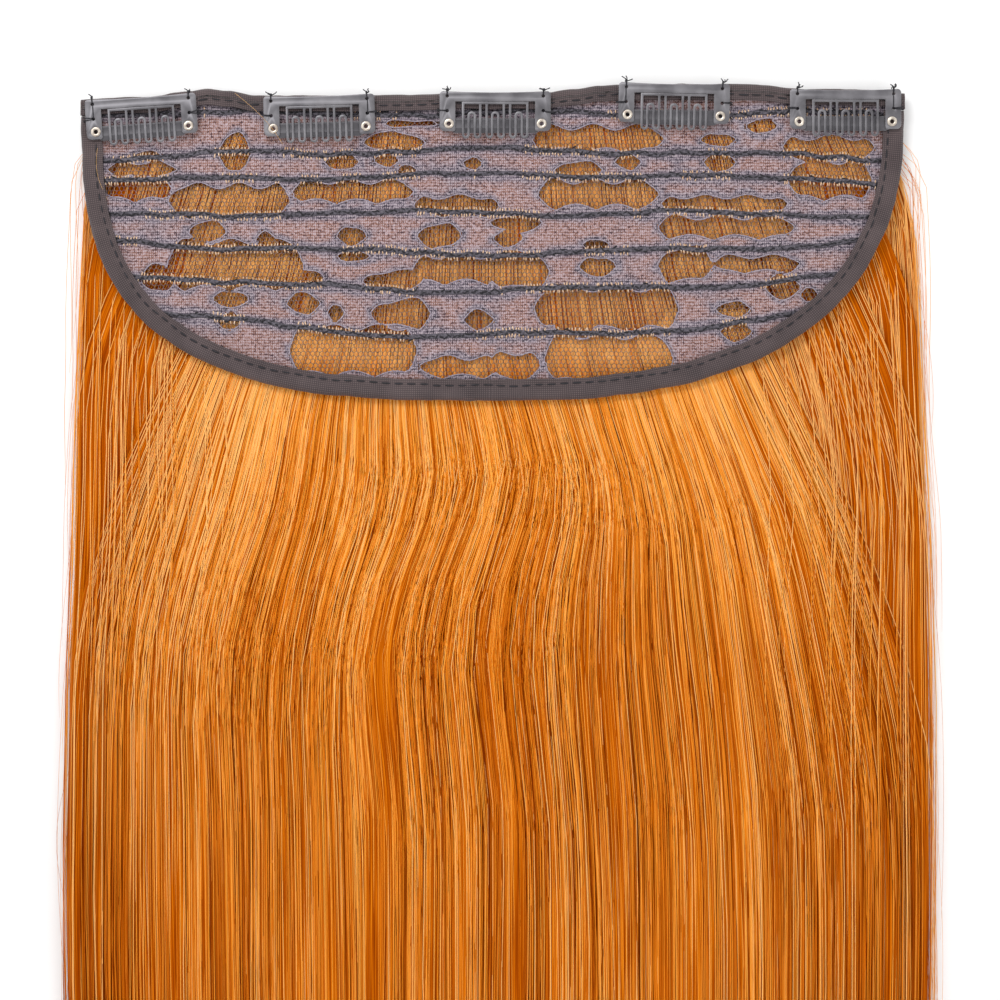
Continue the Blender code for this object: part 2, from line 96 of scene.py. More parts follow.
def halfWidth(depth, side, inset=0.0):
    side = np.asarray(side)
    fullness = np.where(side < 0, baseShape["fullness"][-1], baseShape["fullness"][1])
    share = np.clip(depth / baseHeight, 0.001, 0.999)
    across = (1 - share ** fullness) ** (1 / fullness)
    slope = halfBase / baseHeight * (share / across) ** (fullness - 1)
    return np.maximum(halfBase * across - inset * np.hypot(1, slope), halfBase / 10)


def laceUnderside(y):  # flat under the clips, then up over one tier of hair after another
    levels = [step * baseHeight for step in baseShape["steps"]]
    count = np.zeros_like(y, dtype=float)
    for index in range(7):
        depth = -y + baseShape["stepRounding"] * (2 * index / 6 - 1)
        count += 1 + sum(np.clip((depth - low) / (high - low), 0, 1) for low, high in zip(levels, levels[1:]))
    tier = baseShape["tierThickness"] + baseShape["gap"]
    return count / 7 * tier + baseShape["leaf"] + baseShape["leafGap"]


def laceTop(y):
    return laceUnderside(y) + baseShape["lace"]


def sewnRow(row, x):
    depth, endRise = baseShape["sewnRows"][row]
    wander = 0.6 * mm * np.sin(2 * math.pi * x / (82 * mm) + 9 * depth)
    return baseHeight * (endRise * (x / halfBase) ** 2 - depth) + wander


def rowEnd(line, inset, side):  # where a line across the base meets its curved edge, moved in
    x = side * halfWidth(-line(0.0), side, inset)
    for _ in range(60):
        x += 0.3 * (side * halfWidth(-line(x), side, inset) - x)
    return float(x)


def insideBase(x, y, inset):  # above zero inside the base's outline moved in
    side = np.where(x < 0, -1, 1)
    curve = halfWidth(np.clip(-y, 0, None), side, inset) - np.abs(x)
    return np.minimum(np.minimum(curve, baseHeight - inset + y), topEdge(x) - inset - y)


def curvedEdge(angle):
    across, down = np.cos(angle), np.sin(angle)
    fullness = np.where(across < 0, baseShape["fullness"][-1], baseShape["fullness"][1])
    x = np.sign(across) * halfBase * np.abs(across) ** (2 / fullness)
    return x, -baseHeight * np.abs(down) ** (2 / fullness)


def softNoise(x, y, seed):  # smooth noise from -1 to 1, one lattice cell for each unit
    lattice = np.random.default_rng(seed).uniform(-1, 1, (256, 256))
    lowX, lowY = np.floor(x).astype(int), np.floor(y).astype(int)
    partX, partY = x - lowX, y - lowY
    partX, partY = partX * partX * (3 - 2 * partX), partY * partY * (3 - 2 * partY)
    near, far = (lattice[lowX % 256, row % 256] * (1 - partX) + lattice[(lowX + 1) % 256, row % 256] * partX
                 for row in (lowY, lowY + 1))
    return near * (1 - partY) + far * partY


# Materials

def linear(code):  # sRGB hex to a linear colour
    shares = [int(code[place:place + 2], 16) / 255 for place in (1, 3, 5)]
    return [share / 12.92 if share <= 0.04045 else ((share + 0.055) / 1.055) ** 2.4
            for share in shares] + [1.0]


def addNode(material, kind, links=None, stops=None, **settings):
    node = kind if isinstance(kind, bpy.types.Node) else material.node_tree.nodes.new("ShaderNode" + kind)
    for name, value in settings.items():
        setattr(node, name, value)
    if stops:  # the ramp's own black stop becomes the first one, and its white one goes
        elements = node.color_ramp.elements
        elements.remove(elements[-1])
        elements[0].position, elements[0].color = stops[0][0], linear(stops[0][1])
        for place, code in stops[1:]:
            elements.new(place).color = linear(code)
    for name, value in (links or {}).items():
        if isinstance(value, bpy.types.Node):  # its first output is meant
            value = value.outputs[0]
        if isinstance(value, bpy.types.NodeSocket):
            material.node_tree.links.new(value, node.inputs[name])
        else:
            node.inputs[name].default_value = value
    return node


def bandScale(spacing):  # a wave texture's scale for bands this far apart
    return 2 * math.pi / 20 / spacing


def newMaterial(name):
    material = bpy.data.materials.new(name)
    material.use_nodes = True
    return material, material.node_tree.nodes["Principled BSDF"]


# Human hair dyed copper and combed straight: each strand has its own tone, from dark copper to pale gold,
# and a soft gloss along it. The value stored on the strands is their own tone with painted highlight and painted
# shade added in.
def dyedHair():
    material, shader = newMaterial("dyed_human_hair")
    toneAndPaintedLight = addNode(material, "Attribute", attribute_name="toneAndPaintedLight")
    ramp = addNode(material, "ValToRGB", {"Fac": toneAndPaintedLight.outputs["Fac"]}, stops=(
        (0.0, "#5A1800"), (0.18, "#8E3200"), (0.4, "#CC680E"), (0.62, "#EE9024"), (0.84, "#FBB04C"),
        (1.0, "#FFCA80")))
    addNode(material, shader, {"Base Color": ramp, "Roughness": 0.5, "IOR": 1.5,
                               "Specular IOR Level": 0.25, "Specular Tint": linear("#FF9A2E")})
    return material


# The hair under the top strands, packed close: fine streaks along the fall, about 0.4 mm apart
def packedHair():
    material, shader = newMaterial("dyed_human_hair_packed")
    place = addNode(material, "UVMap")
    stretch = addNode(material, "Mapping", {"Vector": place.outputs["UV"], "Scale": (2600, 22, 1)})
    streak = addNode(material, "TexNoise", {"Vector": stretch, "Scale": 1.0, "Detail": 3.0})
    ramp = addNode(material, "ValToRGB", {"Fac": streak}, stops=(
        (0.25, "#6A2200"), (0.45, "#A04400"), (0.6, "#CC6A06"), (0.78, "#EE9420")))
    bump = addNode(material, "Bump", {"Height": streak, "Strength": 0.6, "Distance": 0.0003})
    addNode(material, shader, {"Base Color": ramp, "Roughness": 0.6, "IOR": 1.5,
                               "Specular IOR Level": 0.2, "Specular Tint": linear("#FF9A2E"),
                               "Normal": bump})
    return material


# Warp-knitted nylon lace, its solid parts: wales 0.55 mm apart crossed by courses, lilac-grey yarn with dark
# gaps where it is gathered ("gather" near 1) and the hair's brown showing through where it lies single
def laceCloth():
    material, shader = newMaterial("knitted_nylon_lace_cloth")
    place = addNode(material, "TexCoord")
    wales = addNode(material, "TexWave", {"Vector": place.outputs["Object"], "Scale": bandScale(0.55 * mm),
                                          "Distortion": 1.6, "Detail": 2.0, "Detail Scale": 2.0,
                                           "Detail Roughness": 0.6},
                    wave_type="BANDS", bands_direction="X", wave_profile="SIN")
    courses = addNode(material, "TexWave", {"Vector": place.outputs["Object"], "Scale": bandScale(0.85 * mm),
                                            "Distortion": 3.4, "Detail": 2.0, "Detail Scale": 2.0},
                      wave_type="BANDS", bands_direction="Y", wave_profile="SIN")
    fleck = addNode(material, "TexNoise", {"Vector": place.outputs["Object"], "Scale": 1500.0, "Detail": 2.0})
    patches = addNode(material, "TexNoise", {"Vector": place.outputs["Object"], "Scale": 210.0, "Detail": 4.0})
    crossing = addNode(material, "Math", {0: wales.outputs["Fac"], 1: courses.outputs["Fac"]},
                       operation="MULTIPLY")
    knit = addNode(material, "Math", {0: crossing, 1: 0.42, 2: fleck}, operation="MULTIPLY_ADD")
    single = addNode(material, "ValToRGB", {"Fac": knit}, stops=(
        (0.38, "#43313A"), (0.5, "#8A6456"), (0.64, "#9A7E7E"), (0.85, "#B8A6AC")))
    gathered = addNode(material, "ValToRGB", {"Fac": knit}, stops=(
        (0.4, "#2E2933"), (0.52, "#6A606A"), (0.68, "#8E828C"), (0.9, "#B2A6AC")))
    gather = addNode(material, "Attribute", attribute_name="gather")
    uneven = addNode(material, "Math", {0: gather.outputs["Fac"], 1: patches}, operation="ADD")
    share = addNode(material, "MapRange", {"Value": uneven, "From Min": 0.55, "From Max": 1.15})
    mixed = addNode(material, "Mix", {"Factor": share, 6: single, 7: gathered}, data_type="RGBA")
    bump = addNode(material, "Bump", {"Height": knit, "Strength": 0.7, "Distance": 0.0003})
    addNode(material, shader, {"Base Color": mixed.outputs[2], "Roughness": 0.85, "Specular IOR Level": 0.25,
                               "Normal": bump})
    return material


# A nylon yarn or a sewing thread: matt, with a faint twist
def yarn(name, dark, light):
    material, shader = newMaterial(name)
    place = addNode(material, "TexCoord")
    speck = addNode(material, "TexNoise", {"Vector": place.outputs["Object"], "Scale": 1600.0, "Detail": 2.0})
    ramp = addNode(material, "ValToRGB", {"Fac": speck}, stops=((0.35, dark), (0.65, light)))
    bump = addNode(material, "Bump", {"Height": speck, "Strength": 0.3, "Distance": 0.0001})
    addNode(material, shader, {"Base Color": ramp, "Roughness": 0.75, "Normal": bump})
    return material


# Polyester tape, plain woven: matt dark threads about 0.6 mm apart, paler where it is rubbed
def wovenTape():
    material, shader = newMaterial("woven_polyester_tape")
    place = addNode(material, "UVMap")
    warp = addNode(material, "TexWave", {"Vector": place.outputs["UV"], "Scale": bandScale(0.62 * mm),
                                          "Distortion": 0.6},
                   wave_type="BANDS", bands_direction="X", wave_profile="SIN")
    weft = addNode(material, "TexWave", {"Vector": place.outputs["UV"], "Scale": bandScale(0.58 * mm),
                                          "Distortion": 0.6},
                   wave_type="BANDS", bands_direction="Y", wave_profile="SIN")
    weave = addNode(material, "Math", {0: warp.outputs["Fac"], 1: weft.outputs["Fac"]}, operation="MULTIPLY")
    spot = addNode(material, "TexCoord")
    rub = addNode(material, "TexNoise", {"Vector": spot.outputs["Object"], "Scale": 90.0, "Detail": 4.0})
    summed = addNode(material, "Math", {0: weave, 1: rub}, operation="ADD")
    halved = addNode(material, "Math", {0: summed, 1: 0.6}, operation="MULTIPLY")
    ramp = addNode(material, "ValToRGB", {"Fac": halved}, stops=(
        (0.2, "#2C2224"), (0.45, "#463A3B"), (0.75, "#625454")))
    bump = addNode(material, "Bump", {"Height": weave, "Strength": 0.45, "Distance": 0.0002})
    addNode(material, shader, {"Base Color": ramp, "Roughness": 0.8, "Sheen Weight": 0.1, "Normal": bump})
    return material


# Spring steel, stamped and stove-painted charcoal: a satin film; a paler copy of it on the pressed edges is a
# painted highlight
def paintedSteel(name, dark, light, metallic, roughness):
    material, shader = newMaterial(name)
    place = addNode(material, "TexCoord")
    film = addNode(material, "TexNoise", {"Vector": place.outputs["Object"], "Scale": 180.0, "Detail": 6.0})
    ramp = addNode(material, "ValToRGB", {"Fac": film}, stops=((0.35, dark), (0.7, light)))
    rough = addNode(material, "MapRange", {"Value": film, "From Min": 0.3, "From Max": 0.7,
                                           "To Min": roughness - 0.05, "To Max": roughness + 0.07})
    addNode(material, shader, {"Base Color": ramp, "Metallic": metallic, "Roughness": rough})
    return material


# Nickel-plated brass eyelet, tumbled: warm silver
def platedBrass():
    material, shader = newMaterial("nickel_plated_brass")
    place = addNode(material, "TexCoord")
    wear = addNode(material, "TexNoise", {"Vector": place.outputs["Object"], "Scale": 900.0, "Detail": 3.0})
    ramp = addNode(material, "ValToRGB", {"Fac": wear}, stops=((0.3, "#9C8F84"), (0.7, "#E8DFD2")))
    addNode(material, shader, {"Base Color": ramp, "Metallic": 0.9, "Roughness": 0.32})
    return material


hairMaterial = dyedHair()
packedMaterial = packedHair()
clothMaterial = laceCloth()
netMaterial = yarn("nylon_net_yarn", "#5E4646", "#9C8480")
outlineMaterial = yarn("nylon_outline_yarn", "#8A8090", "#B4A9B4")
trackMaterial = yarn("polyester_weft_track", "#2C2930", "#5E5962")
threadMaterial = yarn("black_polyester_thread", "#121115", "#26242B")
wispMaterial = yarn("bleached_hair_ends", "#C79C7C", "#EED3B6")
tapeMaterial = wovenTape()
steelMaterial = paintedSteel("painted_spring_steel", "#5A585C", "#7A787C", 0.6, 0.42)
# painted highlight: a paler copy of the steel for the pressed edges
edgeHighlightMaterial = paintedSteel("spring_steel_edge_painted_highlight", "#A5A2A6", "#D6D3D6", 0.6, 0.38)
barMaterial = paintedSteel("painted_steel_strap", "#454347", "#58565A", 0.5, 0.5)
eyeletMaterial = platedBrass()
print("materials made")


# Meshes from arrays

def meshPiece(name, points, faceGroups, material, uv=None, values=None):  # points in the base's plan
    corners = np.concatenate([group.ravel() for group in faceGroups])
    sizes = np.concatenate([np.full(len(group), group.shape[1]) for group in faceGroups])
    mesh = bpy.data.meshes.new(name)
    mesh.vertices.add(len(points))
    points = points + np.array((seatX, seatY, 0.0))
    mesh.vertices.foreach_set("co", np.asarray(points, np.float32).ravel())
    mesh.loops.add(len(corners))
    mesh.loops.foreach_set("vertex_index", corners.astype(np.int32))
    mesh.polygons.add(len(sizes))
    mesh.polygons.foreach_set("loop_start", np.concatenate([[0], np.cumsum(sizes)[:-1]]).astype(np.int32))
    mesh.polygons.foreach_set("use_smooth", np.full(len(sizes), True))
    mesh.update(calc_edges=True)
    mesh.validate()
    if uv is not None:
        mesh.uv_layers.new(name="UVMap").data.foreach_set("uv", np.asarray(uv, np.float32)[corners].ravel())
    for label, numbers in (values or {}).items():
        attribute = mesh.attributes.new(label, "FLOAT", "POINT")
        attribute.data.foreach_set("value", np.asarray(numbers, np.float32))
    piece = bpy.data.objects.new(name, mesh)
    bpy.context.scene.collection.objects.link(piece)
    mesh.materials.append(material)
    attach(piece, "base")
    return piece


def gridFaces(columns, rows):  # quads of a grid of points, and the points' numbers
    index = np.arange(columns * rows).reshape(columns, rows)
    corners = [index[:-1, :-1], index[:-1, 1:], index[1:, 1:], index[1:, :-1]]
    return np.stack(corners, -1).reshape(-1, 4), index


def tubes(paths, radii, sides=3, flatness=1.0):  # closed tubes round many paths of as many points each
    paths = np.asarray(paths, float)
    count, length = paths.shape[:2]
    radii = np.broadcast_to(radii, (count, length))
    ahead = np.gradient(paths, axis=1)
    ahead /= np.linalg.norm(ahead, axis=2, keepdims=True) + 1e-12
    sideways = np.cross(ahead, (0.0, 0.0, 1.0))
    steep = np.linalg.norm(sideways, axis=2, keepdims=True) < 0.05
    sideways = np.where(steep, np.array((1.0, 0.0, 0.0)), sideways)
    sideways /= np.linalg.norm(sideways, axis=2, keepdims=True)
    up = np.cross(sideways, ahead)
    angle = 2 * math.pi * np.arange(sides) / sides + math.pi / 2
    ring = sideways[:, :, None] * np.cos(angle)[:, None]
    ring = ring + up[:, :, None] * (np.sin(angle) * flatness)[:, None]
    points = (paths[:, :, None] + radii[:, :, None, None] * ring).reshape(-1, 3)
    start = (np.arange(count)[:, None] * length * sides + np.arange(length - 1) * sides)[:, :, None]
    here, following = np.arange(sides), (np.arange(sides) + 1) % sides
    walls = np.stack([start + here, start + following, start + following + sides, start + here + sides], -1)
    first = np.arange(count)[:, None] * length * sides
    caps = [(first + here)[:, ::-1], first + (length - 1) * sides + here]
    return points, [walls.reshape(-1, 4), caps[0], caps[1]]


def tubePiece(name, paths, radii, material, sides=3, flatness=1.0, capped=True, toneAndPaintedLight=None):
    points, faces = tubes(paths, radii, sides, flatness)
    values = {}
    if toneAndPaintedLight is not None:
        values["toneAndPaintedLight"] = np.repeat(np.broadcast_to(toneAndPaintedLight, paths.shape[:2]).ravel(), sides)
    return meshPiece(name, points, faces if capped else faces[:1], material, values=values)


# Hair

hair = {
    "width": 253.5 * mm,
    "length": 406 * mm,
    "shift": 1.5 * mm,
    "lowestRow": 0.905,                    # share of the base's height from which the length counts
    "taperStart": 250 * mm,
    "fan": math.tan(math.radians(18)),
    "headLength": 3 * mm,
    "headFoot": 2 * mm,
    "edges": (
        # depth as a share of the length, left, right
        (0.00, 0.948, 0.948), (0.06, 0.955, 0.962), (0.18, 0.966, 0.976), (0.24, 0.975, 0.981),
        (0.32, 0.978, 0.992), (0.44, 0.993, 1.000), (0.57, 1.000, 0.998), (0.90, 0.975, 0.985),
        (1.20, 0.900, 0.930),
    ),
    "tiers": (
        # node, sewn row, share of the length its tips stop short, strands, points in a strand, pieces
        ("hair_tier_1", None, 0.000, 1800, 15, 1),
        ("hair_tier_2", "third", 0.012, 1150, 13, 1),
        ("hair_tier_3", "fifth", 0.022, 1150, 13, 1),
        ("hair_tier_4", "seventh", 0.008, 3400, 19, 2),
    ),
    "radius": (0.13 * mm, 0.20 * mm),
    "sway": 8.5 * mm,
    "toneRange": (0.06, 0.96),
    "feather": 0.42,                       # how far in the outer strands of a tier may lie, as a share
    "fallOver": 0.12,                      # share of the upper tiers' outer strands laid over the lower ones
}
hairEnd = baseHeight * hair["lowestRow"] + hair["length"]


def hairEdge(depth, side):
    share = np.where(side < 0, readTable(hair["edges"], depth / hair["length"], 1),
                     readTable(hair["edges"], depth / hair["length"], 2))
    return side * share * hair["width"] / 2 + hair["shift"]


def tierPitch(depth):
    share = np.clip((depth - hair["taperStart"]) / (hairEnd - hair["taperStart"]), 0, 1)
    thinning = (baseShape["tipThickness"] - baseShape["tierThickness"]) * share
    return baseShape["tierThickness"] + thinning + baseShape["gap"]


def sway(x, depth):  # the slow S of the combed hair below the base, strongest near the middle
    late = 9 * mm * softNoise(x / (55 * mm) + 3, depth * 0 + 1, 5)
    strength = 0.34 + 0.66 * np.exp(-((x - 4 * mm) / (38 * mm)) ** 2)
    strength = strength + 0.22 * softNoise(x / (30 * mm), depth * 0 + 4, 7)
    right = np.exp(-((depth - 119 * mm - late) / (22 * mm)) ** 2)
    left = np.exp(-((depth - 172 * mm - late) / (30 * mm)) ** 2)
    ripple = softNoise(x / (11 * mm), depth / (52 * mm), 6) * np.clip((depth - 85 * mm) / (50 * mm), 0, 1)
    return hair["sway"] * strength * (right - 0.55 * left) + 0.9 * mm * ripple


def headLineOf(row):
    if row is None:
        return lambda x: topEdge(x) - baseShape["topBinding"] - baseShape["gap"] - hair["headFoot"] / 4
    return lambda x: sewnRow(row, x) + hair["headLength"] / 2


def fallPlan(row, share, depth):  # plan x of a strand with this share of the width, at a depth
    headLine = headLineOf(row)
    foot = hair["headLength"] + hair["headFoot"]
    inset = baseShape["curvedBinding"] + 2 * baseShape["gap"]
    root = {side: rowEnd(lambda x: headLine(x) - foot, inset, side) for side in (-1, 1)}
    side = np.where(share < 0, -1, 1)
    rootX = np.abs(share) * np.where(side < 0, root[-1], root[1])
    reach = np.abs(hairEdge(depth, side)) - np.abs(np.where(side < 0, root[-1], root[1]))
    run = np.clip(depth + headLine(rootX) - foot, 0, None)
    spread = np.sin(np.clip(run / (reach / hair["fan"]), 0, 1) * math.pi / 2)
    x = rootX + np.abs(share) * side * reach * spread
    return x + sway(x, depth) * (1 - np.abs(share) ** 6), rootX, headLine


def makeTier(level, node, row, shorter, strands, stations, pieces):
    # packed hair inside the tier, with the strands laid over and under it
    columns, rows = 121, 50
    share = np.linspace(-1, 1, columns)[:, None] * np.ones(rows)
    headLine = headLineOf(row)
    startDepth = -headLine(share * 0.9 * halfBase) + 1.0 * mm
    endDepth = hairEnd - hair["length"] * shorter - 14 * mm + 6 * mm * softNoise(share * 22, share * 0, 9)
    depth = startDepth + (endDepth - startDepth) * np.linspace(0, 1, rows) ** 1.3
    x, _, _ = fallPlan(row, share, depth)
    x *= 0.992
    pitch = tierPitch(depth)
    middle = level * pitch + (pitch - baseShape["gap"]) / 2
    half = (pitch - baseShape["gap"]) / 2 - 0.3 * mm
    half = half + 0.12 * mm * softNoise(share * 60, depth / (60 * mm), 11 + level)
    half *= np.clip((1 - np.abs(share)) * 14, 0.25, 1)
    belowBase = np.clip((depth - 60 * mm) / (50 * mm), 0, 1)
    outside = np.clip(np.abs(share) * 6 - 4.6, 0, 1) ** 1.5  # the upper tiers' edges lie lower
    middle = middle - 0.9 * mm * outside * (level > 0) * belowBase
    top = np.stack([x, -depth, middle + half], -1).reshape(-1, 3)
    bottom = np.stack([x, -depth, middle - half], -1).reshape(-1, 3)
    quads, index = gridFaces(columns, rows)
    rim = np.concatenate([index[:, 0], index[-1, 1:], index[-2::-1, -1], index[0, -2:0:-1]])
    turn = np.roll(rim, -1)
    under = len(top)
    wall = np.stack([rim, turn, turn + under, rim + under], -1)
    uv = np.stack([share * halfBase, depth], -1).reshape(-1, 2)
    packed = meshPiece(node + "_packed", np.concatenate([top, bottom]), [quads, quads[:, ::-1] + under, wall],
                       packedMaterial, uv=np.concatenate([uv, uv]))
    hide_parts(node)

    for part in range(pieces):
        count = strands // pieces
        share = -1 + 2 * (np.arange(count) + chance.uniform(0, 1, count)) / count
        share = np.sign(share) * np.minimum(np.abs(share), 0.998)
        share = share[:, None]
        feather = chance.uniform(0, 1, (count, 1)) ** 1.4
        feather = 1 - hair["feather"] * feather * np.abs(share) ** 3 * (level > 0)
        rootX = share * 0.9 * halfBase
        start = -headLine(rootX) + hair["headLength"] * 0.6
        tip = hairEnd - hair["length"] * shorter - 26 * mm * chance.uniform(0, 1, (count, 1)) ** 2.2
        tip -= 5 * mm * (1 + softNoise(share * 20, share * 0, 9))
        jitter = np.pad(chance.uniform(-0.4, 0.4, (count, stations - 2)), ((0, 0), (1, 1)))
        steps = np.linspace(0, 1, stations) + jitter / (stations - 1)
        depth = start + (tip - start) * steps ** 1.8
        x, rootX, _ = fallPlan(row, share * feather + 0 * depth, depth)
        stray = chance.normal(0, 1, (count, 1)) * 1.1 * mm
        x += stray * np.clip((depth - start) / (120 * mm), 0, 1)
        x += 0.35 * mm * softNoise(share * 300 + depth * 0, depth / (38 * mm), 21 + level)
        pitch = tierPitch(depth)
        thick = pitch - baseShape["gap"]
        layer = chance.uniform(0, 1, (count, 1))
        if level == 0:
            layer = np.where(chance.uniform(0, 1, (count, 1)) < 0.42, layer ** 3, 1 - layer ** 2)
            height = 0.22 * mm + (thick - 0.22 * mm) * layer
        else:
            layer = 1 - 0.6 * layer ** 1.3
            height = thick * layer
        free = np.clip((depth - 95 * mm) / (30 * mm), 0, 1) if level == 3 else 0
        bulge = 0.5 * mm * softNoise(share * 45 + depth * 0, depth / (90 * mm), 31 + level) * free
        under = np.clip(insideBase(x, -depth, 9 * mm) / (4 * mm), 0, 1) * 1.15 * mm
        under = under * chance.uniform(0.2, 1, (count, 1))
        sink = 1.1 * mm * np.clip(np.abs(share) * 6 - 5, 0, 1) ** 2 * (level > 0)
        sink = sink * np.clip((depth - 60 * mm) / (50 * mm), 0, 1)
        outer = np.clip(np.abs(share) * 6 - 4.3, 0, 1) * np.clip((depth - 45 * mm) / (45 * mm), 0, 1)
        over = (chance.uniform(0, 1, (count, 1)) < hair["fallOver"]) * (level < 3) * outer
        z = level * pitch + height + bulge + under - sink
        lift = (4 - level) * pitch - height + 0.35 * mm * chance.uniform(0, 1, (count, 1)) - bulge - under
        z = z + over * lift
        radius = chance.uniform(*hair["radius"], (count, 1)) * np.ones(stations)
        radius = radius * np.clip((tip - depth) / (30 * mm), 0.35, 1)
        # painted shade: strands lying lower in their tier are darker; the three lower tiers are painted brighter
        # to make up for the shade they lie in
        toneAndPaintedLight = 0.50 + 0.22 * chance.normal(0, 1, (count, 1)) + 0.42 * (layer - 0.75) + 0.18 * (level < 3)
        toneAndPaintedLight = toneAndPaintedLight + 0.12 * softNoise(share * 150 + 0 * depth, depth / (120 * mm), 41)
        toneAndPaintedLight = toneAndPaintedLight + 0.07 * softNoise(share * 24 + 0 * depth, depth / (160 * mm), 42)
        # painted highlight: brighter near the base, where the light's sheen falls on the hair
        toneAndPaintedLight = toneAndPaintedLight + 0.17 * np.clip(1 - (depth - 85 * mm) / (75 * mm), 0, 1)
        # painted light: strands tucked under the lace are brighter, to make up for the lace's shade on them
        toneAndPaintedLight = toneAndPaintedLight + 0.42 * np.clip(under / (0.4 * mm), 0, 1)
        streak = np.exp(-((x + 42 * mm) / (3.5 * mm)) ** 2) * np.exp(-((depth - 125 * mm) / (26 * mm)) ** 2)
        toneAndPaintedLight = toneAndPaintedLight + 0.22 * streak
        # painted light: the outer strands near the base are paler, to make up for shade at the sides
        paintedSideLight = np.clip(np.abs(share) * 3 - 1.8, 0, 1) * np.clip((230 * mm - depth) / (90 * mm), 0, 1)
        toneAndPaintedLight = toneAndPaintedLight + 0.28 * paintedSideLight
        label = "_strands" if pieces == 1 else "_strands_%d" % (part + 1)
        tubePiece(node + label, np.stack([x, -depth, z], -1), radius, hairMaterial,
                  toneAndPaintedLight=np.clip(toneAndPaintedLight, *hair["toneRange"]))
    print("tier", node, "made")


for level, tier in enumerate(hair["tiers"]):
    makeTier(level, *tier)


# Lace

lace = {
    "cell": 0.8 * mm,
    "thickness": 0.32 * mm,
    "windows": (
        # openings that show net: left, right, top and bottom, in mm from the base's plan origin
        (-80, -70.5, 12, 22), (-38, -19.5, 11.5, 16.5), (-32, -15.5, 7.5, 9.5), (-105, -96.5, 16.5, 19.5),
        (-112.5, -92, 20, 24), (-113.5, -93.5, 24.5, 31), (-94.5, -59, 27, 35.5), (-58.5, -23, 25.5, 31.5),
        (-23, 2, 30, 35.5), (-88.5, -77.5, 37.5, 43), (-69, -63, 40.5, 44.5), (-45.5, -36.5, 39, 44),
        (-49, -39, 17.5, 22), (-35, -27, 17.5, 21), (-28, -22, 20.5, 24.5), (-9, -3, 18.5, 22),
        (-94.5, -55, 44, 56), (-58, -49, 51.5, 56), (-38, -20.5, 52, 57.5), (-45.5, -35.5, 46, 49),
        (-23, 2, 47.5, 55), (-22, -9, 38.5, 44.5), (-102.5, -92, 50.5, 57.5), (-81.5, -70.5, 58, 62),
        (-80, -73, 64, 69), (-60, -50, 58.5, 64), (-48, -43, 61.5, 66.5), (-35.5, -18, 60.5, 68),
        (-8.5, 0.5, 63.5, 68.5), (-59, -22, 69, 81), (-21.5, 2, 77, 82.5), (11.5, 50, 9.5, 16.5),
        (60.5, 71, 11.5, 15), (73.5, 83.5, 7.5, 11), (70, 84.5, 5, 6.5), (84.5, 111.5, 12.5, 19),
        (18, 32, 20, 24.5), (35.5, 43.5, 17.5, 22), (61.5, 71, 17.5, 22.5), (86, 110.5, 20, 30),
        (13, 48.5, 25.5, 33), (49, 86, 30, 34.5), (-1, 14.5, 35.5, 40), (48, 88, 36, 42), (26, 34, 42.5, 46),
        (0, 9, 40, 44.5), (-1, 16.5, 47, 56.5), (25, 36, 48, 53), (48, 64, 45.5, 54.5), (64, 89.5, 47.5, 52),
        (14.5, 23, 56, 59), (12, 54, 57.5, 68), (79, 89.5, 53.5, 59.5), (89.5, 94.5, 56.5, 61),
        (64.5, 75, 61, 65), (37.5, 45.5, 64, 69), (18, 29.5, 65.5, 71), (66, 75.5, 67, 72),
        (15, 52.5, 71.5, 83), (-1, 14, 75.5, 83),
    ),
    "wavePitch": 13 * mm,                  # scallops along a window's edges
    "wave": 0.22,                          # share of the window's half height
    "taper": 4 * mm,                       # length of a window's ends
    "netWidth": 1.4 * mm,
    "netHeight": 1.15 * mm,
    "netYarn": 0.10 * mm,                  # radius
    "outlineYarn": 0.17 * mm,
}


def windowField(x, y):  # below zero inside a window of the lace, about true to distance
    best = np.full(np.shape(x), 1.0)
    for number, window in enumerate(lace["windows"]):
        left, right, top, bottom = (side * mm for side in window)
        wide, half, middle = right - left, (bottom - top) / 2, -(top + bottom) / 2
        near = (x > left - 6 * mm) & (x < right + 6 * mm) & (np.abs(y - middle) < half + 6 * mm)
        spotX, spotY = x[near], y[near]
        share = (spotX - left) / wide
        end = np.clip(np.minimum(share, 1 - share) * wide / min(lace["taper"], wide / 2), 0, 1)
        tall = half * (1.3 - 1.2 * (1 - end) ** 2)
        waves = max(1, round(wide / lace["wavePitch"]))
        deep = lace["wave"] * min(1.0, 3.4 * mm / half) * (1.0 if wide > 14 * mm else 0.6)
        upper = middle + tall * (1 - deep * (1 + np.sin(2 * math.pi * waves * share + 2.1 * number)))
        lower = middle - tall * (1 - 2 * deep * np.abs(np.sin(math.pi * waves * share + 1.3 * number)))
        field = np.maximum.reduce([spotY - upper, lower - spotY, left - spotX, spotX - right])
        best[near] = np.minimum(best[near], field)
    return best


def laceRelief(x, y):  # height of the lace's top: ridges over the sewn rows, soft gathers between them
    relief = 0.12 * mm * softNoise(x / (5 * mm), y / (14 * mm), 51)
    relief = relief + 0.08 * mm * softNoise(x / (1.7 * mm), y / (4 * mm), 52)
    for row in baseShape["sewnRows"]:
        away = (y - sewnRow(row, x)) / (0.9 * mm)
        relief = relief + 0.45 * mm * np.exp(-away * away)
    return laceTop(y) - 0.35 * mm + relief


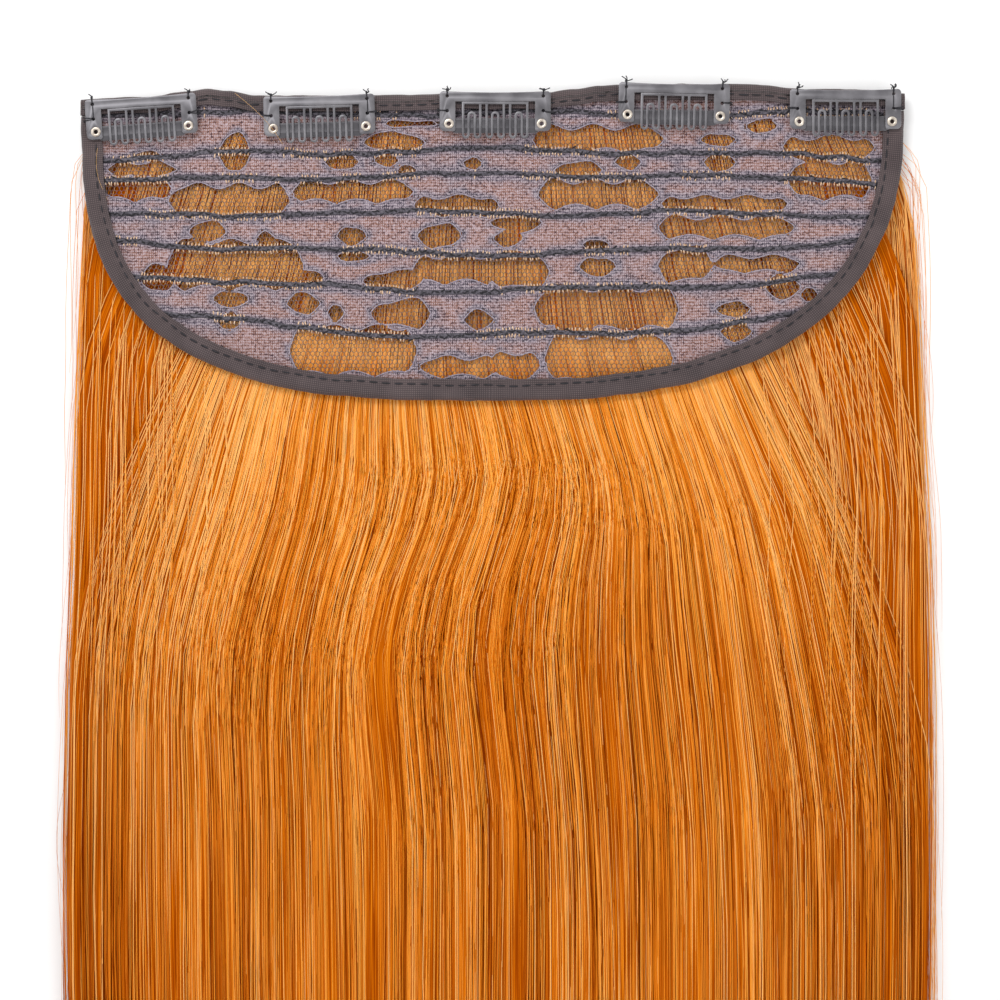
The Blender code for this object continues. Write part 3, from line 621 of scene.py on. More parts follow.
def makeLaceCloth():
    cell = lace["cell"]
    columns, rows = int(2 * halfBase / cell) + 3, int((baseHeight + 4 * mm) / cell) + 3
    x, y = np.meshgrid(-halfBase - cell + cell * np.arange(columns),
                       3.5 * mm - cell * np.arange(rows), indexing="ij")
    for _ in range(2):  # corners near a window's edge are moved onto it, so its outline runs smooth
        field = windowField(x, y)
        step = 0.05 * mm
        slopeX = (windowField(x + step, y) - field) / step
        slopeY = (windowField(x, y + step) - field) / step
        steep = slopeX ** 2 + slopeY ** 2 + 1e-6
        moveX, moveY = -field * slopeX / steep, -field * slopeY / steep
        near = np.hypot(moveX, moveY) < 0.45 * cell
        x, y = x + np.where(near, moveX, 0), y + np.where(near, moveY, 0)
    quads, _ = gridFaces(columns, rows)
    middleX, middleY = x.ravel()[quads].mean(1), y.ravel()[quads].mean(1)
    keep = (insideBase(middleX, middleY, 3.2 * mm) > 0) & (windowField(middleX, middleY) > 0)
    quads = quads[keep]
    lace["flatArea"] = len(quads) * cell ** 2
    edges = np.sort(np.stack([quads, np.roll(quads, -1, 1)], -1).reshape(-1, 2), 1)
    pairs, where, times = np.unique(edges, axis=0, return_index=True, return_counts=True)
    loose = where[times == 1]
    rim = np.stack([quads, np.roll(quads, -1, 1)], -1).reshape(-1, 2)[loose]
    top = np.stack([x.ravel(), y.ravel(), laceRelief(x.ravel(), y.ravel())], -1)
    under = len(top)
    walls = np.stack([rim[:, 1], rim[:, 0], rim[:, 0] + under, rim[:, 1] + under], -1)
    both = np.concatenate([top, top - np.array((0, 0, lace["thickness"]))])
    faces = np.concatenate([quads, quads[:, ::-1] + under, walls])
    used, faces = np.unique(faces, return_inverse=True)
    spotX, spotY = both[used, 0], both[used, 1]
    gather = 0.75 * np.exp(-np.clip(windowField(spotX, spotY) / (1.6 * mm), 0, None) ** 2)
    for row in baseShape["sewnRows"]:
        gather = np.maximum(gather, np.exp(-((spotY - sewnRow(row, spotX)) / (2.1 * mm)) ** 2))
    gather = gather + 0.35 * softNoise(spotX / (9 * mm), spotY / (4 * mm), 55)
    cloth = meshPiece("lace_cloth", both[used], [faces.reshape(-1, 4)], clothMaterial,
                      values={"gather": gather})
    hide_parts("lace_panel")
    return cloth


def makeNet():
    wide, tall = lace["netWidth"], lace["netHeight"]
    columns, rows = int(2 * halfBase / wide) + 2, int(baseHeight / tall) + 2
    column, row = np.meshgrid(np.arange(columns), np.arange(rows), indexing="ij")
    stagger = np.where(row % 2, 0.5, 0.0)
    x = -halfBase + (column + stagger) * wide
    y = -row * tall
    starts, ends = [], []
    for toX, fromY, toY in ((0.0, 0.28, -0.28), (0.5, -0.28, -0.72), (-0.5, -0.28, -0.72)):
        starts.append(np.stack([x, y + fromY * tall], -1).reshape(-1, 2))
        ends.append(np.stack([x + toX * wide, y + toY * tall], -1).reshape(-1, 2))
    starts, ends = np.concatenate(starts), np.concatenate(ends)

    def jitter(spots):
        pull = 0.16 * mm
        return spots + pull * np.stack([softNoise(spots[:, 0] / (2.1 * mm), spots[:, 1] / (1.9 * mm), 61),
                                        softNoise(spots[:, 0] / (2.3 * mm), spots[:, 1] / (2.0 * mm), 62)], -1)
    starts, ends = jitter(starts), jitter(ends)
    middle = (starts + ends) / 2
    keep = windowField(middle[:, 0], middle[:, 1]) < 0.35 * mm
    keep &= insideBase(middle[:, 0], middle[:, 1], 4 * mm) > 0
    starts, ends = starts[keep], ends[keep]
    runs = np.stack([starts, ends], 1)
    level = laceRelief(runs[..., 0], runs[..., 1]) - 0.18 * mm
    radii = lace["netYarn"] * chance.uniform(0.8, 1.25, (len(runs), 1))
    return tubePiece("lace_net", np.concatenate([runs, level[..., None]], -1), radii, netMaterial,
                     capped=False)


def outlinesOf(field, x, y):  # short pieces of the line where a field is zero, by marching over a grid
    pieces = []
    values = field(x, y)
    for corners in (((0, 0), (1, 0), (0, 1)), ((1, 1), (0, 1), (1, 0))):
        spots, levels = [], []
        for right, down in corners:
            window = (slice(right, x.shape[0] - 1 + right), slice(down, x.shape[1] - 1 + down))
            spots.append(np.stack([x[window], y[window]], -1).reshape(-1, 2))
            levels.append(values[window].ravel())
        crossings = []
        for a, b in ((0, 1), (1, 2), (2, 0)):
            crosses = levels[a] * levels[b] < 0
            share = np.where(crosses, levels[a] / np.where(crosses, levels[a] - levels[b], 1), 0)[:, None]
            crossings.append((crosses, spots[a] + (spots[b] - spots[a]) * share))
        for first, second in ((0, 1), (1, 2), (2, 0)):
            both = crossings[first][0] & crossings[second][0]
            pieces.append(np.stack([crossings[first][1][both], crossings[second][1][both]], 1))
    return np.concatenate(pieces)


def makeOutlineYarn():
    grid = 1.1 * mm
    x, y = np.meshgrid(np.arange(-halfBase, halfBase, grid), np.arange(0, -baseHeight, -grid), indexing="ij")
    runs = outlinesOf(windowField, x, y)
    middle = runs.mean(1)
    inside = insideBase(middle[:, 0], middle[:, 1], 5 * mm) > 0
    runs = runs[inside & (np.linalg.norm(runs[:, 1] - runs[:, 0], axis=1) > 0.1 * mm)]
    stretch = (runs[:, 1] - runs[:, 0]) * 0.12
    runs = np.stack([runs[:, 0] - stretch, runs[:, 1] + stretch], 1)
    level = laceRelief(runs[..., 0], runs[..., 1]) + 0.02 * mm
    radii = lace["outlineYarn"] * chance.uniform(0.8, 1.2, (len(runs), 1))
    return tubePiece("lace_outline_yarn", np.concatenate([runs, level[..., None]], -1), radii, outlineMaterial,
                     sides=4, flatness=0.7)


cloth = makeLaceCloth()
net = makeNet()
outlineYarn = makeOutlineYarn()
print("lace made")


# Sewn rows: a weft track over the lace, lock-stitched in black thread, with pale hair ends caught in it

rowSewing = {
    "stitchPitch": 1.25 * mm,
    "stitchLength": 1.5 * mm,
    "stitchRadius": 0.20 * mm,
    "trackRadius": 0.72 * mm,
    "trackFlatness": 0.42,                 # height over width
    "endInset": 6.0 * mm,
    "wispPitch": 0.95 * mm,
    "wispRadius": 0.20 * mm,
}


def makeSewnRows():
    trackPaths, stitchPaths, wispPaths = [], [], []
    for number, row in enumerate(baseShape["sewnRows"]):
        def line(x, row=row):
            return sewnRow(row, x)
        left, right = (rowEnd(line, rowSewing["endInset"], side) for side in (-1, 1))
        x = np.linspace(left, right, 240)
        y = line(x) + 0.45 * mm * softNoise(x / (6 * mm), x * 0 + number, 71)
        z = laceRelief(x, y) + 0.08 * mm * softNoise(x / (2.2 * mm), x * 0 + number, 72)
        trackPaths.append(np.stack([x, y, z], -1))

        count = int((right - left) / rowSewing["stitchPitch"])
        at = left + (np.arange(count) + 0.5 + chance.uniform(-0.25, 0.25, count)) * (right - left) / count
        half = rowSewing["stitchLength"] / 2 * chance.uniform(0.6, 1.2, count)
        turn = np.where(np.arange(count) % 2, 0.5, -0.35) + chance.normal(0, 0.25, count)
        side = chance.normal(0, 0.35 * mm, count)
        share = np.linspace(-1, 1, 5)
        stitchX = at[:, None] + (half * np.cos(turn))[:, None] * share
        stitchY = np.interp(at, x, y)[:, None] + side[:, None] + (half * np.sin(turn))[:, None] * share
        stitchZ = laceRelief(stitchX, stitchY) + 0.42 * mm - 0.3 * mm * share ** 4
        stitchPaths.append(np.stack([stitchX, stitchY, stitchZ], -1))

        for offset in (-1, 1):
            count = int((right - left) / rowSewing["wispPitch"])
            at = left + (np.arange(count) + 0.5 + chance.uniform(-0.3, 0.3, count)) * (right - left) / count
            shown = windowField(at, line(at)) < 1.2 * mm
            shown |= softNoise(at / (12 * mm), at * 0 + number, 73) > 0.45
            at = at[shown & (chance.uniform(0, 1, count) < 0.8)]
            turn = chance.uniform(-0.35, 0.35, len(at))
            half = chance.uniform(0.3, 0.62, len(at)) * mm
            share = np.linspace(-1, 1, 3)
            wispX = at[:, None] + np.sin(turn)[:, None] * half[:, None] * share
            middle = np.interp(at, x, y) + offset * chance.uniform(0.7, 1.15, len(at)) * mm
            wispY = middle[:, None] + np.cos(turn)[:, None] * half[:, None] * share
            wispZ = laceRelief(wispX, wispY) + 0.22 * mm - 0.2 * mm * share ** 2
            wispPaths.append(np.stack([wispX, wispY, wispZ], -1))
    track = tubePiece("weft_tracks", np.stack(trackPaths), rowSewing["trackRadius"], trackMaterial,
                      sides=8, flatness=rowSewing["trackFlatness"])
    paths = np.concatenate(stitchPaths)
    swell = rowSewing["stitchRadius"] * np.array((0.6, 0.95, 1.1, 0.95, 0.6))
    stitches = tubePiece("weft_track_stitches", paths, swell * chance.uniform(0.8, 1.3, (len(paths), 1)),
                         threadMaterial, sides=4)
    wisps = tubePiece("caught_hair_ends", np.concatenate(wispPaths), rowSewing["wispRadius"], wispMaterial,
                      sides=4)
    return [track, stitches, wisps]


sewing = makeSewnRows()
print("sewn rows made")


# Binding: a woven tape folded over the edge of the lace and stitched through

binding = {
    "fold": 10,                            # points round the fold
    "stitchPitch": 3.7 * mm,
    "stitchInset": 1.9 * mm,               # from the tape's inner edge
    "stitchLength": 2.8 * mm,
    "stitchRadius": 0.22 * mm,
    "pucker": 0.10 * mm,
}


def tapeSection(width):  # inset from the edge and height over the lace's middle, once round the folded tape
    reach = baseShape["lace"] / 2 + baseShape["leafGap"] + baseShape["leaf"]
    thick = 0.55 * mm
    angles = np.linspace(math.pi / 2, 3 * math.pi / 2, binding["fold"])
    outer = [(width - 0.12 * mm, reach - 0.05 * mm), (width - 0.5 * mm, reach), (width * 0.62, reach),
             (width * 0.4, reach), (reach * 1.1, reach)]
    outer += [(reach * 0.9 + reach * 0.9 * math.cos(angle), reach * math.sin(angle)) for angle in angles]
    outer += [(reach * 1.1, -reach), (width * 0.5, -reach), (width - 0.12 * mm, -reach)]
    inner = [(inset, height - math.copysign(thick, height)) for inset, height in outer[::-1] if inset > reach]
    return np.array(outer + inner)


def makeTape(name, node, along, length, width):
    stations = int(length / (0.9 * mm))
    section = tapeSection(width)
    share = np.linspace(0, 1, stations)
    place = share * length
    wavy = 0.22 * mm * softNoise(place / (7 * mm), place * 0, 81)
    wavy = wavy + 0.10 * mm * softNoise(place / (2.4 * mm), place * 0, 82)
    points = []
    phase = np.cos(2 * math.pi * place / binding["stitchPitch"])
    for inset, height in section:
        inner = np.clip(inset / width, 0, 1)
        x, y = along(share, inset + wavy * (1.0 if inner > 0.9 or inner < 0.1 else 0.4))
        nearStitch = math.exp(-((inset - (width - binding["stitchInset"])) / (1.1 * mm)) ** 2)
        dip = binding["pucker"] * nearStitch * (1.2 + phase) if height > 0 else 0.0
        z = laceUnderside(y) + baseShape["lace"] / 2 + height * 0.97 - dip
        z = z + 0.05 * mm * softNoise(place / (3 * mm), np.full_like(place, inset / (2 * mm)), 83)
        points.append(np.stack([x, y, z], -1))
    ring = len(section)
    points = np.stack(points, 1).reshape(-1, 3)
    start = np.arange(stations - 1)[:, None] * ring
    here, following = np.arange(ring), (np.arange(ring) + 1) % ring
    walls = np.stack([start + here, start + following, start + following + ring, start + here + ring], -1)
    girth = np.concatenate([[0], np.cumsum(np.hypot(*np.diff(section, axis=0).T))])
    uv = np.stack(np.broadcast_arrays(place[:, None], girth[None, :]), -1).reshape(-1, 2)
    caps = [here[None, ::-1], (here + (stations - 1) * ring)[None]]
    tape = meshPiece(name, points, [walls.reshape(-1, 4)] + caps, tapeMaterial, uv=uv)
    closeAndTurnOut(tape)
    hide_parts(node)

    count = int(length / binding["stitchPitch"])
    at = (np.arange(count) + 0.5) / count
    half = binding["stitchLength"] / length / 2
    run = np.linspace(-1, 1, 5)
    spots = at[:, None] + half * run * chance.uniform(0.85, 1.1, (count, 1))
    inset = width - binding["stitchInset"] + 0.3 * mm * softNoise(spots * length / (9 * mm), spots * 0, 84)
    inset = inset + chance.normal(0, 0.07 * mm, (count, 1))
    x, y = along(np.clip(spots, 0, 1), inset)
    top = laceUnderside(y) + baseShape["lace"] / 2 + tapeSection(width)[:, 1].max()
    z = top - 0.02 * mm - 0.30 * mm * run ** 4
    swell = binding["stitchRadius"] * np.array((0.7, 1, 1.1, 1, 0.7))
    stitches = tubePiece(name + "_stitches", np.stack([x, y, z], -1), swell, threadMaterial, sides=6)
    return [tape, stitches]


def closeAndTurnOut(piece):  # normals outwards
    bpy.ops.object.select_all(action="DESELECT")
    piece.select_set(True)
    bpy.context.view_layer.objects.active = piece
    bpy.ops.object.mode_set(mode="EDIT")
    bpy.ops.mesh.select_all(action="SELECT")
    bpy.ops.mesh.remove_doubles(threshold=0.000001)
    bpy.ops.mesh.normals_make_consistent(inside=False)
    bpy.ops.object.mode_set(mode="OBJECT")
    piece.select_set(False)


def makeBindings():
    def edgeAngle(depth, side):
        fullness = baseShape["fullness"][side]
        angle = math.asin((depth / baseHeight) ** (fullness / 2))
        return math.pi - angle if side < 0 else angle

    def endDepth(side):
        inner = side * (halfBase - baseShape["curvedBinding"])
        lower = float(min(topEdge(side * halfBase), topEdge(inner)))
        return baseShape["topBinding"] + baseShape["gap"] - lower

    first, last = edgeAngle(endDepth(1), 1), edgeAngle(endDepth(-1), -1)
    angles = np.linspace(first, last, 1500)
    edgeX, edgeY = curvedEdge(angles)
    travelled = np.concatenate([[0], np.cumsum(np.hypot(np.diff(edgeX), np.diff(edgeY)))])

    def alongCurve(share, inset):
        angle = np.interp(share * travelled[-1], travelled, angles)
        x, y = curvedEdge(angle)
        aheadX, aheadY = curvedEdge(angle + 0.01)
        behindX, behindY = curvedEdge(angle - 0.01)
        runX, runY = aheadX - behindX, aheadY - behindY
        run = np.hypot(runX, runY)
        return x + inset * runY / run, y - inset * runX / run

    def alongTop(share, inset):
        x = halfBase * (2 * share - 1)
        return x, topEdge(x) - inset

    pieces = makeTape("curved_tape", "curved_binding", alongCurve, float(travelled[-1]),
                      baseShape["curvedBinding"])
    pieces += makeTape("top_tape", "top_binding", alongTop, 2 * halfBase, baseShape["topBinding"])
    return pieces


tapes = makeBindings()
# the cut is curved and its windows hold only net, so its flat area is less than the rectangle's
print("bindings made")


# Clips

clip = {
    "width": 32.4 * mm, "steel": 0.5 * mm, "barSteel": 0.4 * mm, "bandHollow": 0.4 * mm,
    "spine": 0.7 * mm, "earWidth": 4.6 * mm, "earDrop": 11.7 * mm, "earCorner": 1.5 * mm, "bandCorner": 1.1 * mm,
    "hole": 0.5 * mm, "upperHole": 1.4 * mm, "lowerHole": 5.7 * mm, "holeInset": 2.2 * mm,
    "rivetHole": 1.02 * mm,
    "rivetDrop": 9.5 * mm, "rivetInset": 2.7 * mm,
    "barBottom": 12.2 * mm, "pitch": 6.85 * mm, "tipSpacing": 3.4 * mm,
    "strip": 0.7 * mm, "tipRadius": 1.15 * mm, "archDrop": 5.9 * mm, "tipDrop": 13.8 * mm,
    "seam": 3.06 * mm,                     # from the band's top edge to the snap line
    "plateTop": 6.62 * mm,
    "barLow": 5.6 * mm,
    "bevel": 0.14 * mm,
    "places": (
        # along the half width, rise of the band's top as a share of the edge's wave, turn in degrees
        (-0.853, -0.25, 3.9), (-0.421, -0.13, 1.6), (0.006, 0.22, 0.0), (0.440, 0.97, -1.1),
        (0.855, 0.42, 0.0),
    ),
}


def arc(x, y, radius, start, end, steps):
    angle = np.radians(np.linspace(start, end, steps + 1))
    return list(zip(x + radius * np.cos(angle), y + radius * np.sin(angle)))


def stamped(name, outlines, thickness, top, material):  # a flat stamping with rounded edges, from a curve
    curve = bpy.data.curves.new(name, "CURVE")
    curve.dimensions = "2D"
    curve.fill_mode = "BOTH"
    curve.extrude = thickness / 2 - clip["bevel"]
    curve.bevel_depth = clip["bevel"]
    curve.bevel_resolution = 1
    curve.offset = -clip["bevel"]
    for outline in outlines:
        spline = curve.splines.new("POLY")
        spline.points.add(len(outline) - 1)
        middle = top - thickness / 2
        spline.points.foreach_set("co", [value for x, y in outline for value in (x, y, middle, 1)])
        spline.use_cyclic_u = True
    piece = bpy.data.objects.new(name, curve)
    bpy.context.scene.collection.objects.link(piece)
    bpy.ops.object.select_all(action="DESELECT")
    piece.select_set(True)
    bpy.context.view_layer.objects.active = piece
    bpy.ops.object.convert(target="MESH")
    piece = bpy.context.view_layer.objects.active
    bpy.ops.object.mode_set(mode="EDIT")
    bpy.ops.mesh.select_all(action="SELECT")
    bpy.ops.mesh.remove_doubles(threshold=0.000002)
    bpy.ops.object.mode_set(mode="OBJECT")
    bpy.ops.object.shade_smooth_by_angle(angle=math.radians(35))
    piece.data.materials.clear()
    piece.data.materials.append(material)
    piece.data.materials.append(edgeHighlightMaterial)
    for face in piece.data.polygons:  # the pressed edge round the top gets a painted highlight
        face.material_index = 1 if 0.15 < face.normal.z < 0.9 else 0
    return piece


def frameOutlines():
    half, seam = clip["width"] / 2, clip["seam"]
    inner, bandBottom, earBottom = half - clip["earWidth"], 0.06 * mm, seam - clip["earDrop"]
    outline = arc(-half + clip["bandCorner"], seam - clip["bandCorner"], clip["bandCorner"], 180, 90, 6)
    hollow = np.linspace(-1, 1, 15)[1:-1]
    outline += [(share * (half - clip["bandCorner"]), seam - clip["bandHollow"] * (1 - share ** 2))
                for share in hollow]
    outline += arc(half - clip["bandCorner"], seam - clip["bandCorner"], clip["bandCorner"], 90, 0, 6)
    outline += arc(half - clip["earCorner"], earBottom + clip["earCorner"], clip["earCorner"], 0, -90, 7)
    outline += arc(inner + 0.6 * mm, earBottom + 0.6 * mm, 0.6 * mm, -90, -180, 4)
    outline += [(inner, bandBottom), (-inner, bandBottom)]
    outline += arc(-inner - 0.6 * mm, earBottom + 0.6 * mm, 0.6 * mm, 0, -90, 4)
    outline += arc(-half + clip["earCorner"], earBottom + clip["earCorner"], clip["earCorner"], -90, -180, 7)
    outlines = [outline]
    for side in (-1, 1):
        for drop in (clip["upperHole"], clip["lowerHole"]):
            outlines.append(arc(side * (half - clip["holeInset"]), seam - drop, clip["hole"], 0, 340, 17))
        endX, endY = side * (half - clip["rivetInset"]), seam - clip["rivetDrop"]
        outlines.append(arc(endX, endY, clip["rivetHole"], 0, 345, 23))
    return outlines


def combOutlines():
    seam, strip = clip["seam"], clip["strip"]
    leg = clip["tipSpacing"] / 2 + clip["tipRadius"] - strip / 2
    innerLeg = clip["tipSpacing"] / 2 - clip["tipRadius"] + strip / 2
    spineTop, spineBottom = -0.02 * mm, -0.06 * mm - clip["spine"]
    tipY = seam - clip["tipDrop"] + clip["tipRadius"]
    archY = seam - clip["archDrop"] - innerLeg - strip / 2
    centres = [clip["pitch"] * (index - 1) for index in range(3)]
    halfSpine = centres[-1] + leg + strip / 2
    outline = [(-halfSpine, spineTop), (halfSpine, spineTop)]
    openings = []
    for centre in reversed(centres):
        tipRight, tipLeft = centre + clip["tipSpacing"] / 2, centre - clip["tipSpacing"] / 2
        if centre != centres[-1]:
            outline += arc(centre + leg + strip / 2 + 0.25 * mm, spineBottom - 0.25 * mm, 0.25 * mm, 90, 180, 3)
        outline += arc(tipRight, tipY, clip["tipRadius"], 0, -180, 12)
        outline += arc(centre, archY, innerLeg - strip / 2, 0, 180, 10)
        outline += arc(tipLeft, tipY, clip["tipRadius"], 0, -180, 12)
        if centre != centres[0]:
            outline += arc(centre - leg - strip / 2 - 0.25 * mm, spineBottom - 0.25 * mm, 0.25 * mm, 0, 90, 3)
        bore = clip["tipRadius"] - strip
        opening = arc(centre - leg + strip / 2 + 0.2 * mm, spineBottom - 0.2 * mm, 0.2 * mm, 180, 90, 3)
        opening += arc(centre + leg - strip / 2 - 0.2 * mm, spineBottom - 0.2 * mm, 0.2 * mm, 90, 0, 3)
        opening += arc(tipRight, tipY, bore, 0, -180, 8)
        opening += arc(centre, archY, innerLeg + strip / 2, 0, 180, 10)
        opening += arc(tipLeft, tipY, bore, 0, -180, 8)
        openings.append(opening[::-1])
    return [outline] + openings


def barOutlines():
    half, seam = clip["width"] / 2, clip["seam"]
    endX, endY = half - clip["rivetInset"], seam - clip["rivetDrop"]
    shoulder, bottom = half - clip["earWidth"], seam - clip["barBottom"]
    outline = [(-shoulder, bottom), (shoulder, bottom)]
    outline += arc(endX, endY, 1.64 * mm, -60, 90, 12) + arc(-endX, endY, 1.64 * mm, 90, 240, 12)
    holes = [arc(side * endX, endY, clip["rivetHole"], 0, 345, 23) for side in (-1, 1)]
    return [outline[::-1]] + holes


def makeEyelet():  # turned from half its section with spin
    x, y = clip["width"] / 2 - clip["rivetInset"], clip["seam"] - clip["rivetDrop"]
    high, low = clip["plateTop"] + 0.37 * mm, clip["barLow"]
    bpy.ops.object.select_all(action="DESELECT")
    bpy.ops.mesh.primitive_circle_add(vertices=14, radius=0.33 * mm, location=(1.1 * mm, 0, high - 0.12 * mm),
                                      rotation=(math.pi / 2, 0, 0))
    eyelet = bpy.context.active_object
    eyelet.name = "eyelet"
    bpy.ops.object.transform_apply(location=True, rotation=True, scale=True)
    for vert in eyelet.data.vertices:  # a rolled rim above a straight barrel
        across, up = vert.co.x - 1.1 * mm, vert.co.z - (high - 0.12 * mm)
        if up < -0.1 * mm:
            vert.co.x = 0.62 * mm if across < 0 else 0.9 * mm if across < 0.2 * mm else 1.4 * mm
            vert.co.z = low if across < 0.2 * mm else high - 0.33 * mm
        else:
            vert.co.z = high - 0.12 * mm + up * 0.7
            vert.co.x = 1.02 * mm + across * 1.3
    bpy.ops.object.mode_set(mode="EDIT")
    bpy.ops.mesh.select_all(action="SELECT")
    bpy.ops.mesh.spin(steps=24, angle=2 * math.pi, center=(0, 0, 0), axis=(0, 0, 1))
    bpy.ops.mesh.select_all(action="SELECT")
    bpy.ops.mesh.remove_doubles(threshold=0.000005)
    bpy.ops.mesh.normals_make_consistent(inside=False)
    bpy.ops.object.mode_set(mode="OBJECT")
    bpy.ops.object.shade_smooth_by_angle(angle=math.radians(40))
    eyelet.data.materials.append(eyeletMaterial)
    return eyelet, x, y


def placed(model, name, x, y, angle, moveX=0.0, moveY=0.0):  # a copy with its own mesh, laid in the frame
    copy = bpy.data.objects.new(name, model.data.copy())
    bpy.context.scene.collection.objects.link(copy)
    points = np.empty(len(copy.data.vertices) * 3, np.float32)
    copy.data.vertices.foreach_get("co", points)
    points = points.reshape(-1, 3).astype(float) + np.array((moveX, moveY, 0))
    turned = points.copy()
    turned[:, 0] = points[:, 0] * math.cos(angle) - points[:, 1] * math.sin(angle) + x
    turned[:, 1] = points[:, 0] * math.sin(angle) + points[:, 1] * math.cos(angle) + y
    copy.data.vertices.foreach_set("co", turned.astype(np.float32).ravel())
    copy.data.update()
    return copy


def makeClips():
    frameModel = stamped("clip_frame_model", frameOutlines(), clip["steel"], clip["plateTop"], steelMaterial)
    combModel = stamped("clip_comb_model", combOutlines(), clip["steel"], clip["plateTop"], steelMaterial)
    barTop = clip["barLow"] + clip["barSteel"]
    barModel = stamped("clip_bar_model", barOutlines(), clip["barSteel"], barTop, barMaterial)
    eyeletModel, rivetX, rivetY = makeEyelet()
    for number, (along, rise, turn) in enumerate(clip["places"], start=1):
        x = seatX + halfBase * along
        y = seatY + baseShape["wave"] * rise - clip["seam"]
        angle = math.radians(turn)
        node = "clip_%d_" % number
        for model, part, body in ((frameModel, "frame", "base"), (combModel, "comb", "comb_%d" % number),
                                  (barModel, "bar", "base")):
            piece = placed(model, node + part + "_steel", x, y, angle)
            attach(piece, body)
            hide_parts(node + part)
        for side, word in ((-1, "left"), (1, "right")):
            piece = placed(eyeletModel, node + "eyelet_" + word, x, y, angle, side * rivetX, rivetY)
            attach(piece, "base")
            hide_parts(node + "rivet_" + word)
    for model in (frameModel, combModel, barModel, eyeletModel):
        bpy.data.objects.remove(model, do_unlink=True)


makeClips()
print("clips made")


# Black thread that sews each clip to the base: loops over the band's edge and the ear's side, and knot ends

clipThread = {
    "radius": 0.16 * mm,
    "overEdge": 0.7 * mm,                  # how far a loop stands past the steel
    "tails": 3,
}


def makeClipThreads():
    half, seam, top = clip["width"] / 2, clip["seam"], clip["plateTop"]
    steps = np.linspace(0, 1, 9)
    paths = []
    for number, (along, rise, turn) in enumerate(clip["places"], start=1):
        x0, y0 = halfBase * along, baseShape["wave"] * rise - seam
        angle = math.radians(turn)
        local = []
        for side in (-1, 1):
            holeX = side * (half - clip["holeInset"])
            upperY, lowerY = seam - clip["upperHole"], seam - clip["lowerHole"]
            loop = np.sin(steps * 2.2)  # out over the edge and a little back
            height = top + 0.22 * mm * np.sin(steps * math.pi) - np.clip(steps - 0.72, 0, 1) * 6 * mm
            height[0] = top - clip["steel"]
            for _ in range(3):  # from the upper hole over the band's top edge
                shift = chance.normal(0, 0.28 * mm)
                y = upperY + (seam + clipThread["overEdge"] - upperY) * loop
                local.append(np.stack([holeX + shift * steps, y, height], -1))
            for _ in range(2):  # from the lower hole over the ear's side
                y = lowerY + chance.normal(0, 0.2 * mm) + chance.normal(0, 0.5 * mm) * steps
                x = holeX + side * (clip["holeInset"] + clipThread["overEdge"]) * loop
                local.append(np.stack([x, y, height], -1))
            if (number + side) % 3 == 0:  # some clip ends have a stitch between their two holes
                x = np.full(9, holeX) + chance.normal(0, 0.1 * mm)
                y = upperY + (lowerY - upperY) * steps
                z = top + 0.26 * mm * np.sin(steps * math.pi) - 0.1 * mm
                local.append(np.stack([x, y, z], -1))
            for _ in range(clipThread["tails"]):
                heading, reach = chance.uniform(0.4, 2.7), chance.uniform(0.9, 2.4) * mm
                x = holeX + reach * math.cos(heading) * steps + 0.3 * mm * np.sin(steps * chance.uniform(2, 6))
                y = seam + 0.2 * mm + reach * math.sin(heading) * steps * 0.8
                local.append(np.stack([x, y, top + 0.3 * mm * np.sin(steps * 2.6) - 0.1 * mm], -1))
        for path in local:
            turned = path.copy()
            turned[:, 0] = path[:, 0] * math.cos(angle) - path[:, 1] * math.sin(angle) + x0
            turned[:, 1] = path[:, 0] * math.sin(angle) + path[:, 1] * math.cos(angle) + y0
            paths.append(turned)
    tubePiece("clip_sewing_thread", np.stack(paths), clipThread["radius"], threadMaterial, sides=5)


makeClipThreads()
print("clip threads made")


# Stray hairs round the edges, and thin wisps that leave the base beside its corners

strays = {
    "single": 70,
    "wisps": 22,
    "radius": 0.05 * mm,
    "wispRadius": 0.075 * mm,
    "onTop": (
        # single pale hairs lying on the base: across and down at both ends, in mm
        (-75, 0, -61, 15), (41, 82, 40, 89), (-115, 16, -112, 31),
    ),
}


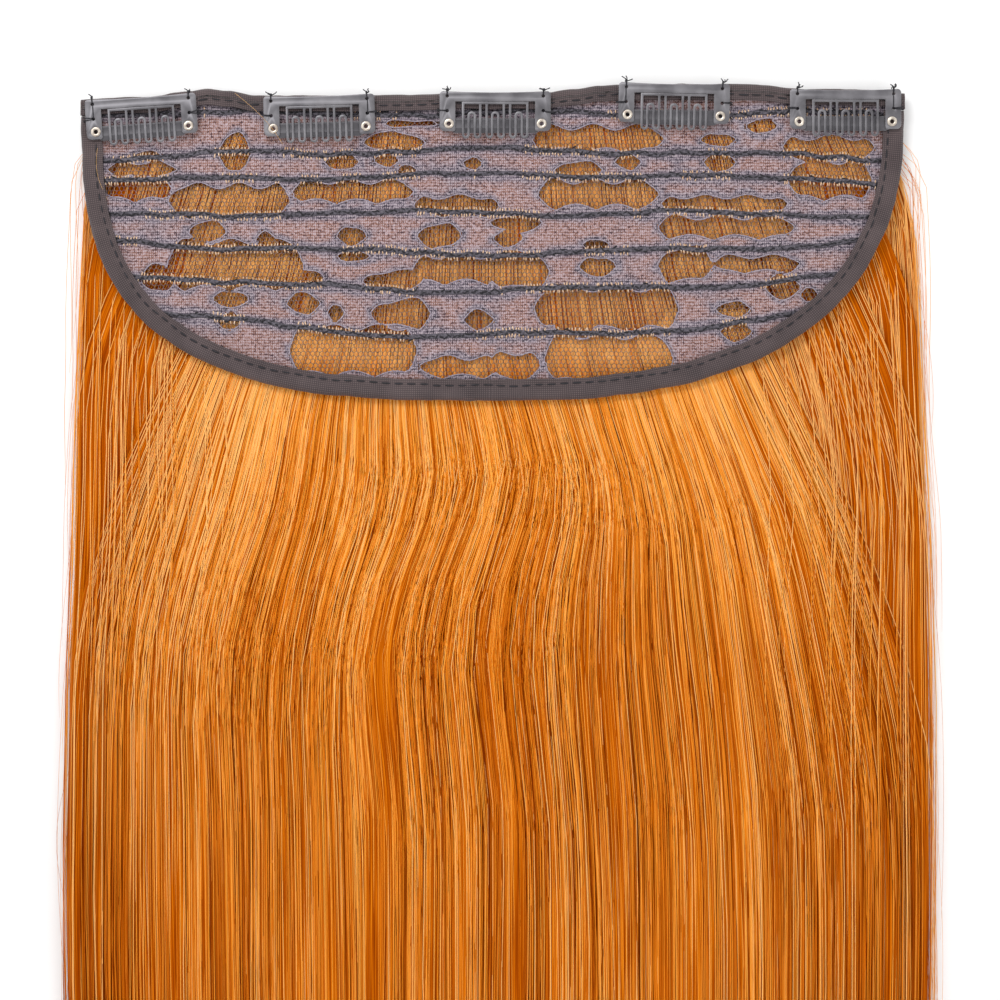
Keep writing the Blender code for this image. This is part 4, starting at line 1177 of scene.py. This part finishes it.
def makeStrays():
    steps = np.linspace(0, 1, 13)
    paths, radii, tones = [], [], []
    for _ in range(strays["single"]):
        side = chance.choice((-1, 1))
        depth = chance.uniform(40, 330) * mm + chance.uniform(40, 130) * mm * steps
        out = chance.uniform(0.3, 4.5) * mm * np.sin(steps * chance.uniform(1.2, 3.0))
        out = out + chance.normal(0, 0.5 * mm)
        x = hairEdge(depth, np.full(13, side)) + side * (out - 1.0 * mm)
        z = 2.2 * mm + 3.0 * mm * chance.uniform(0, 1) * np.sin(0.2 + 2.4 * steps)
        paths.append(np.stack([x, -depth, z], -1))
        radii.append(strays["radius"] * np.clip((1.05 - steps) * 5, 0.3, 1))
        tones.append(chance.uniform(0.4, 0.8))
    for _ in range(strays["wisps"]):
        side = chance.choice((-1, 1))
        startX, startDepth = side * chance.uniform(113, 117) * mm, chance.uniform(7, 22) * mm
        run = chance.uniform(35, 120) * mm
        depth = startDepth + run * steps
        goal = hairEdge(depth, np.full(13, side)) + side * chance.uniform(-2.5, 3.5) * mm
        swing = np.clip(steps * run / (13 * mm), 0, 1)
        x = startX + (goal - startX) * np.sin(swing * math.pi / 2)
        x = x + side * 0.8 * mm * np.sin(steps * chance.uniform(3, 7))
        z = 3.0 * mm + 1.2 * mm * chance.uniform(-1, 1) * np.sin(3 * steps)
        paths.append(np.stack([x, -depth, z], -1))
        radii.append(strays["wispRadius"] * np.clip((1.05 - steps) * 5, 0.3, 1))
        tones.append(chance.uniform(0.4, 0.85))
    for across, down, toAcross, toDown in strays["onTop"]:
        bend = 1.5 * mm * np.sin(steps * math.pi) * chance.choice((-1, 1))
        x = across * mm + (toAcross - across) * mm * steps + bend
        paths.append(np.stack([x, -(down + (toDown - down) * steps) * mm, np.full(13, 7.3 * mm)], -1))
        radii.append(np.full(13, 0.04 * mm))
        tones.append(1.0)
    tubePiece("stray_hairs", np.stack(paths), np.stack(radii), hairMaterial,
              toneAndPaintedLight=np.array(tones)[:, None])


makeStrays()
print("stray hairs made")


# Floor, light and camera

def makeStudio():
    bpy.ops.object.select_all(action="DESELECT")
    bpy.ops.mesh.primitive_plane_add(size=4, location=(0, 0, -0.0005))
    floor = bpy.context.active_object
    floor.name = "white_table"
    material, shader = newMaterial("matt_white_board")
    grain = addNode(material, "TexNoise", {"Scale": 60.0})
    ramp = addNode(material, "ValToRGB", {"Fac": grain}, stops=((0.3, "#F4F4F4"), (0.7, "#F8F8F8")))
    addNode(material, shader, {"Base Color": ramp.outputs["Color"], "Roughness": 0.9})
    floor.data.materials.append(material)

    world = bpy.data.worlds.new("studio")
    bpy.context.scene.world = world
    world.use_nodes = True
    world.node_tree.nodes["Background"].inputs["Color"].default_value = (1, 1, 1, 1)
    world.node_tree.nodes["Background"].inputs["Strength"].default_value = 1.0

    for name, place, size, power in (
            ("key_softbox", (-0.35, 0.75, 1.0), 0.5, 14), ("fill_softbox", (0.8, -0.3, 1.1), 0.8, 6)):
        bpy.ops.object.light_add(type="AREA", location=place)
        light = bpy.context.active_object
        light.name = name
        light.data.size = size
        light.data.energy = power
        aim = np.array((0, 0.1, 0)) - np.array(place)
        light.rotation_euler = (math.acos(-aim[2] / np.linalg.norm(aim)), 0, math.atan2(aim[0], -aim[1]))

    bpy.ops.object.camera_add(location=(0.62 * mm, 123.6 * mm, 1.1), rotation=(0, 0, 0))
    camera = bpy.context.active_object
    camera.name = "photo_camera"
    camera.data.sensor_width = 36
    camera.data.lens = 36 * (1.1 - 8 * mm) / 0.2907
    bpy.context.scene.camera = camera
    bpy.context.scene.view_settings.view_transform = "Standard"


makeStudio()
print("studio made")
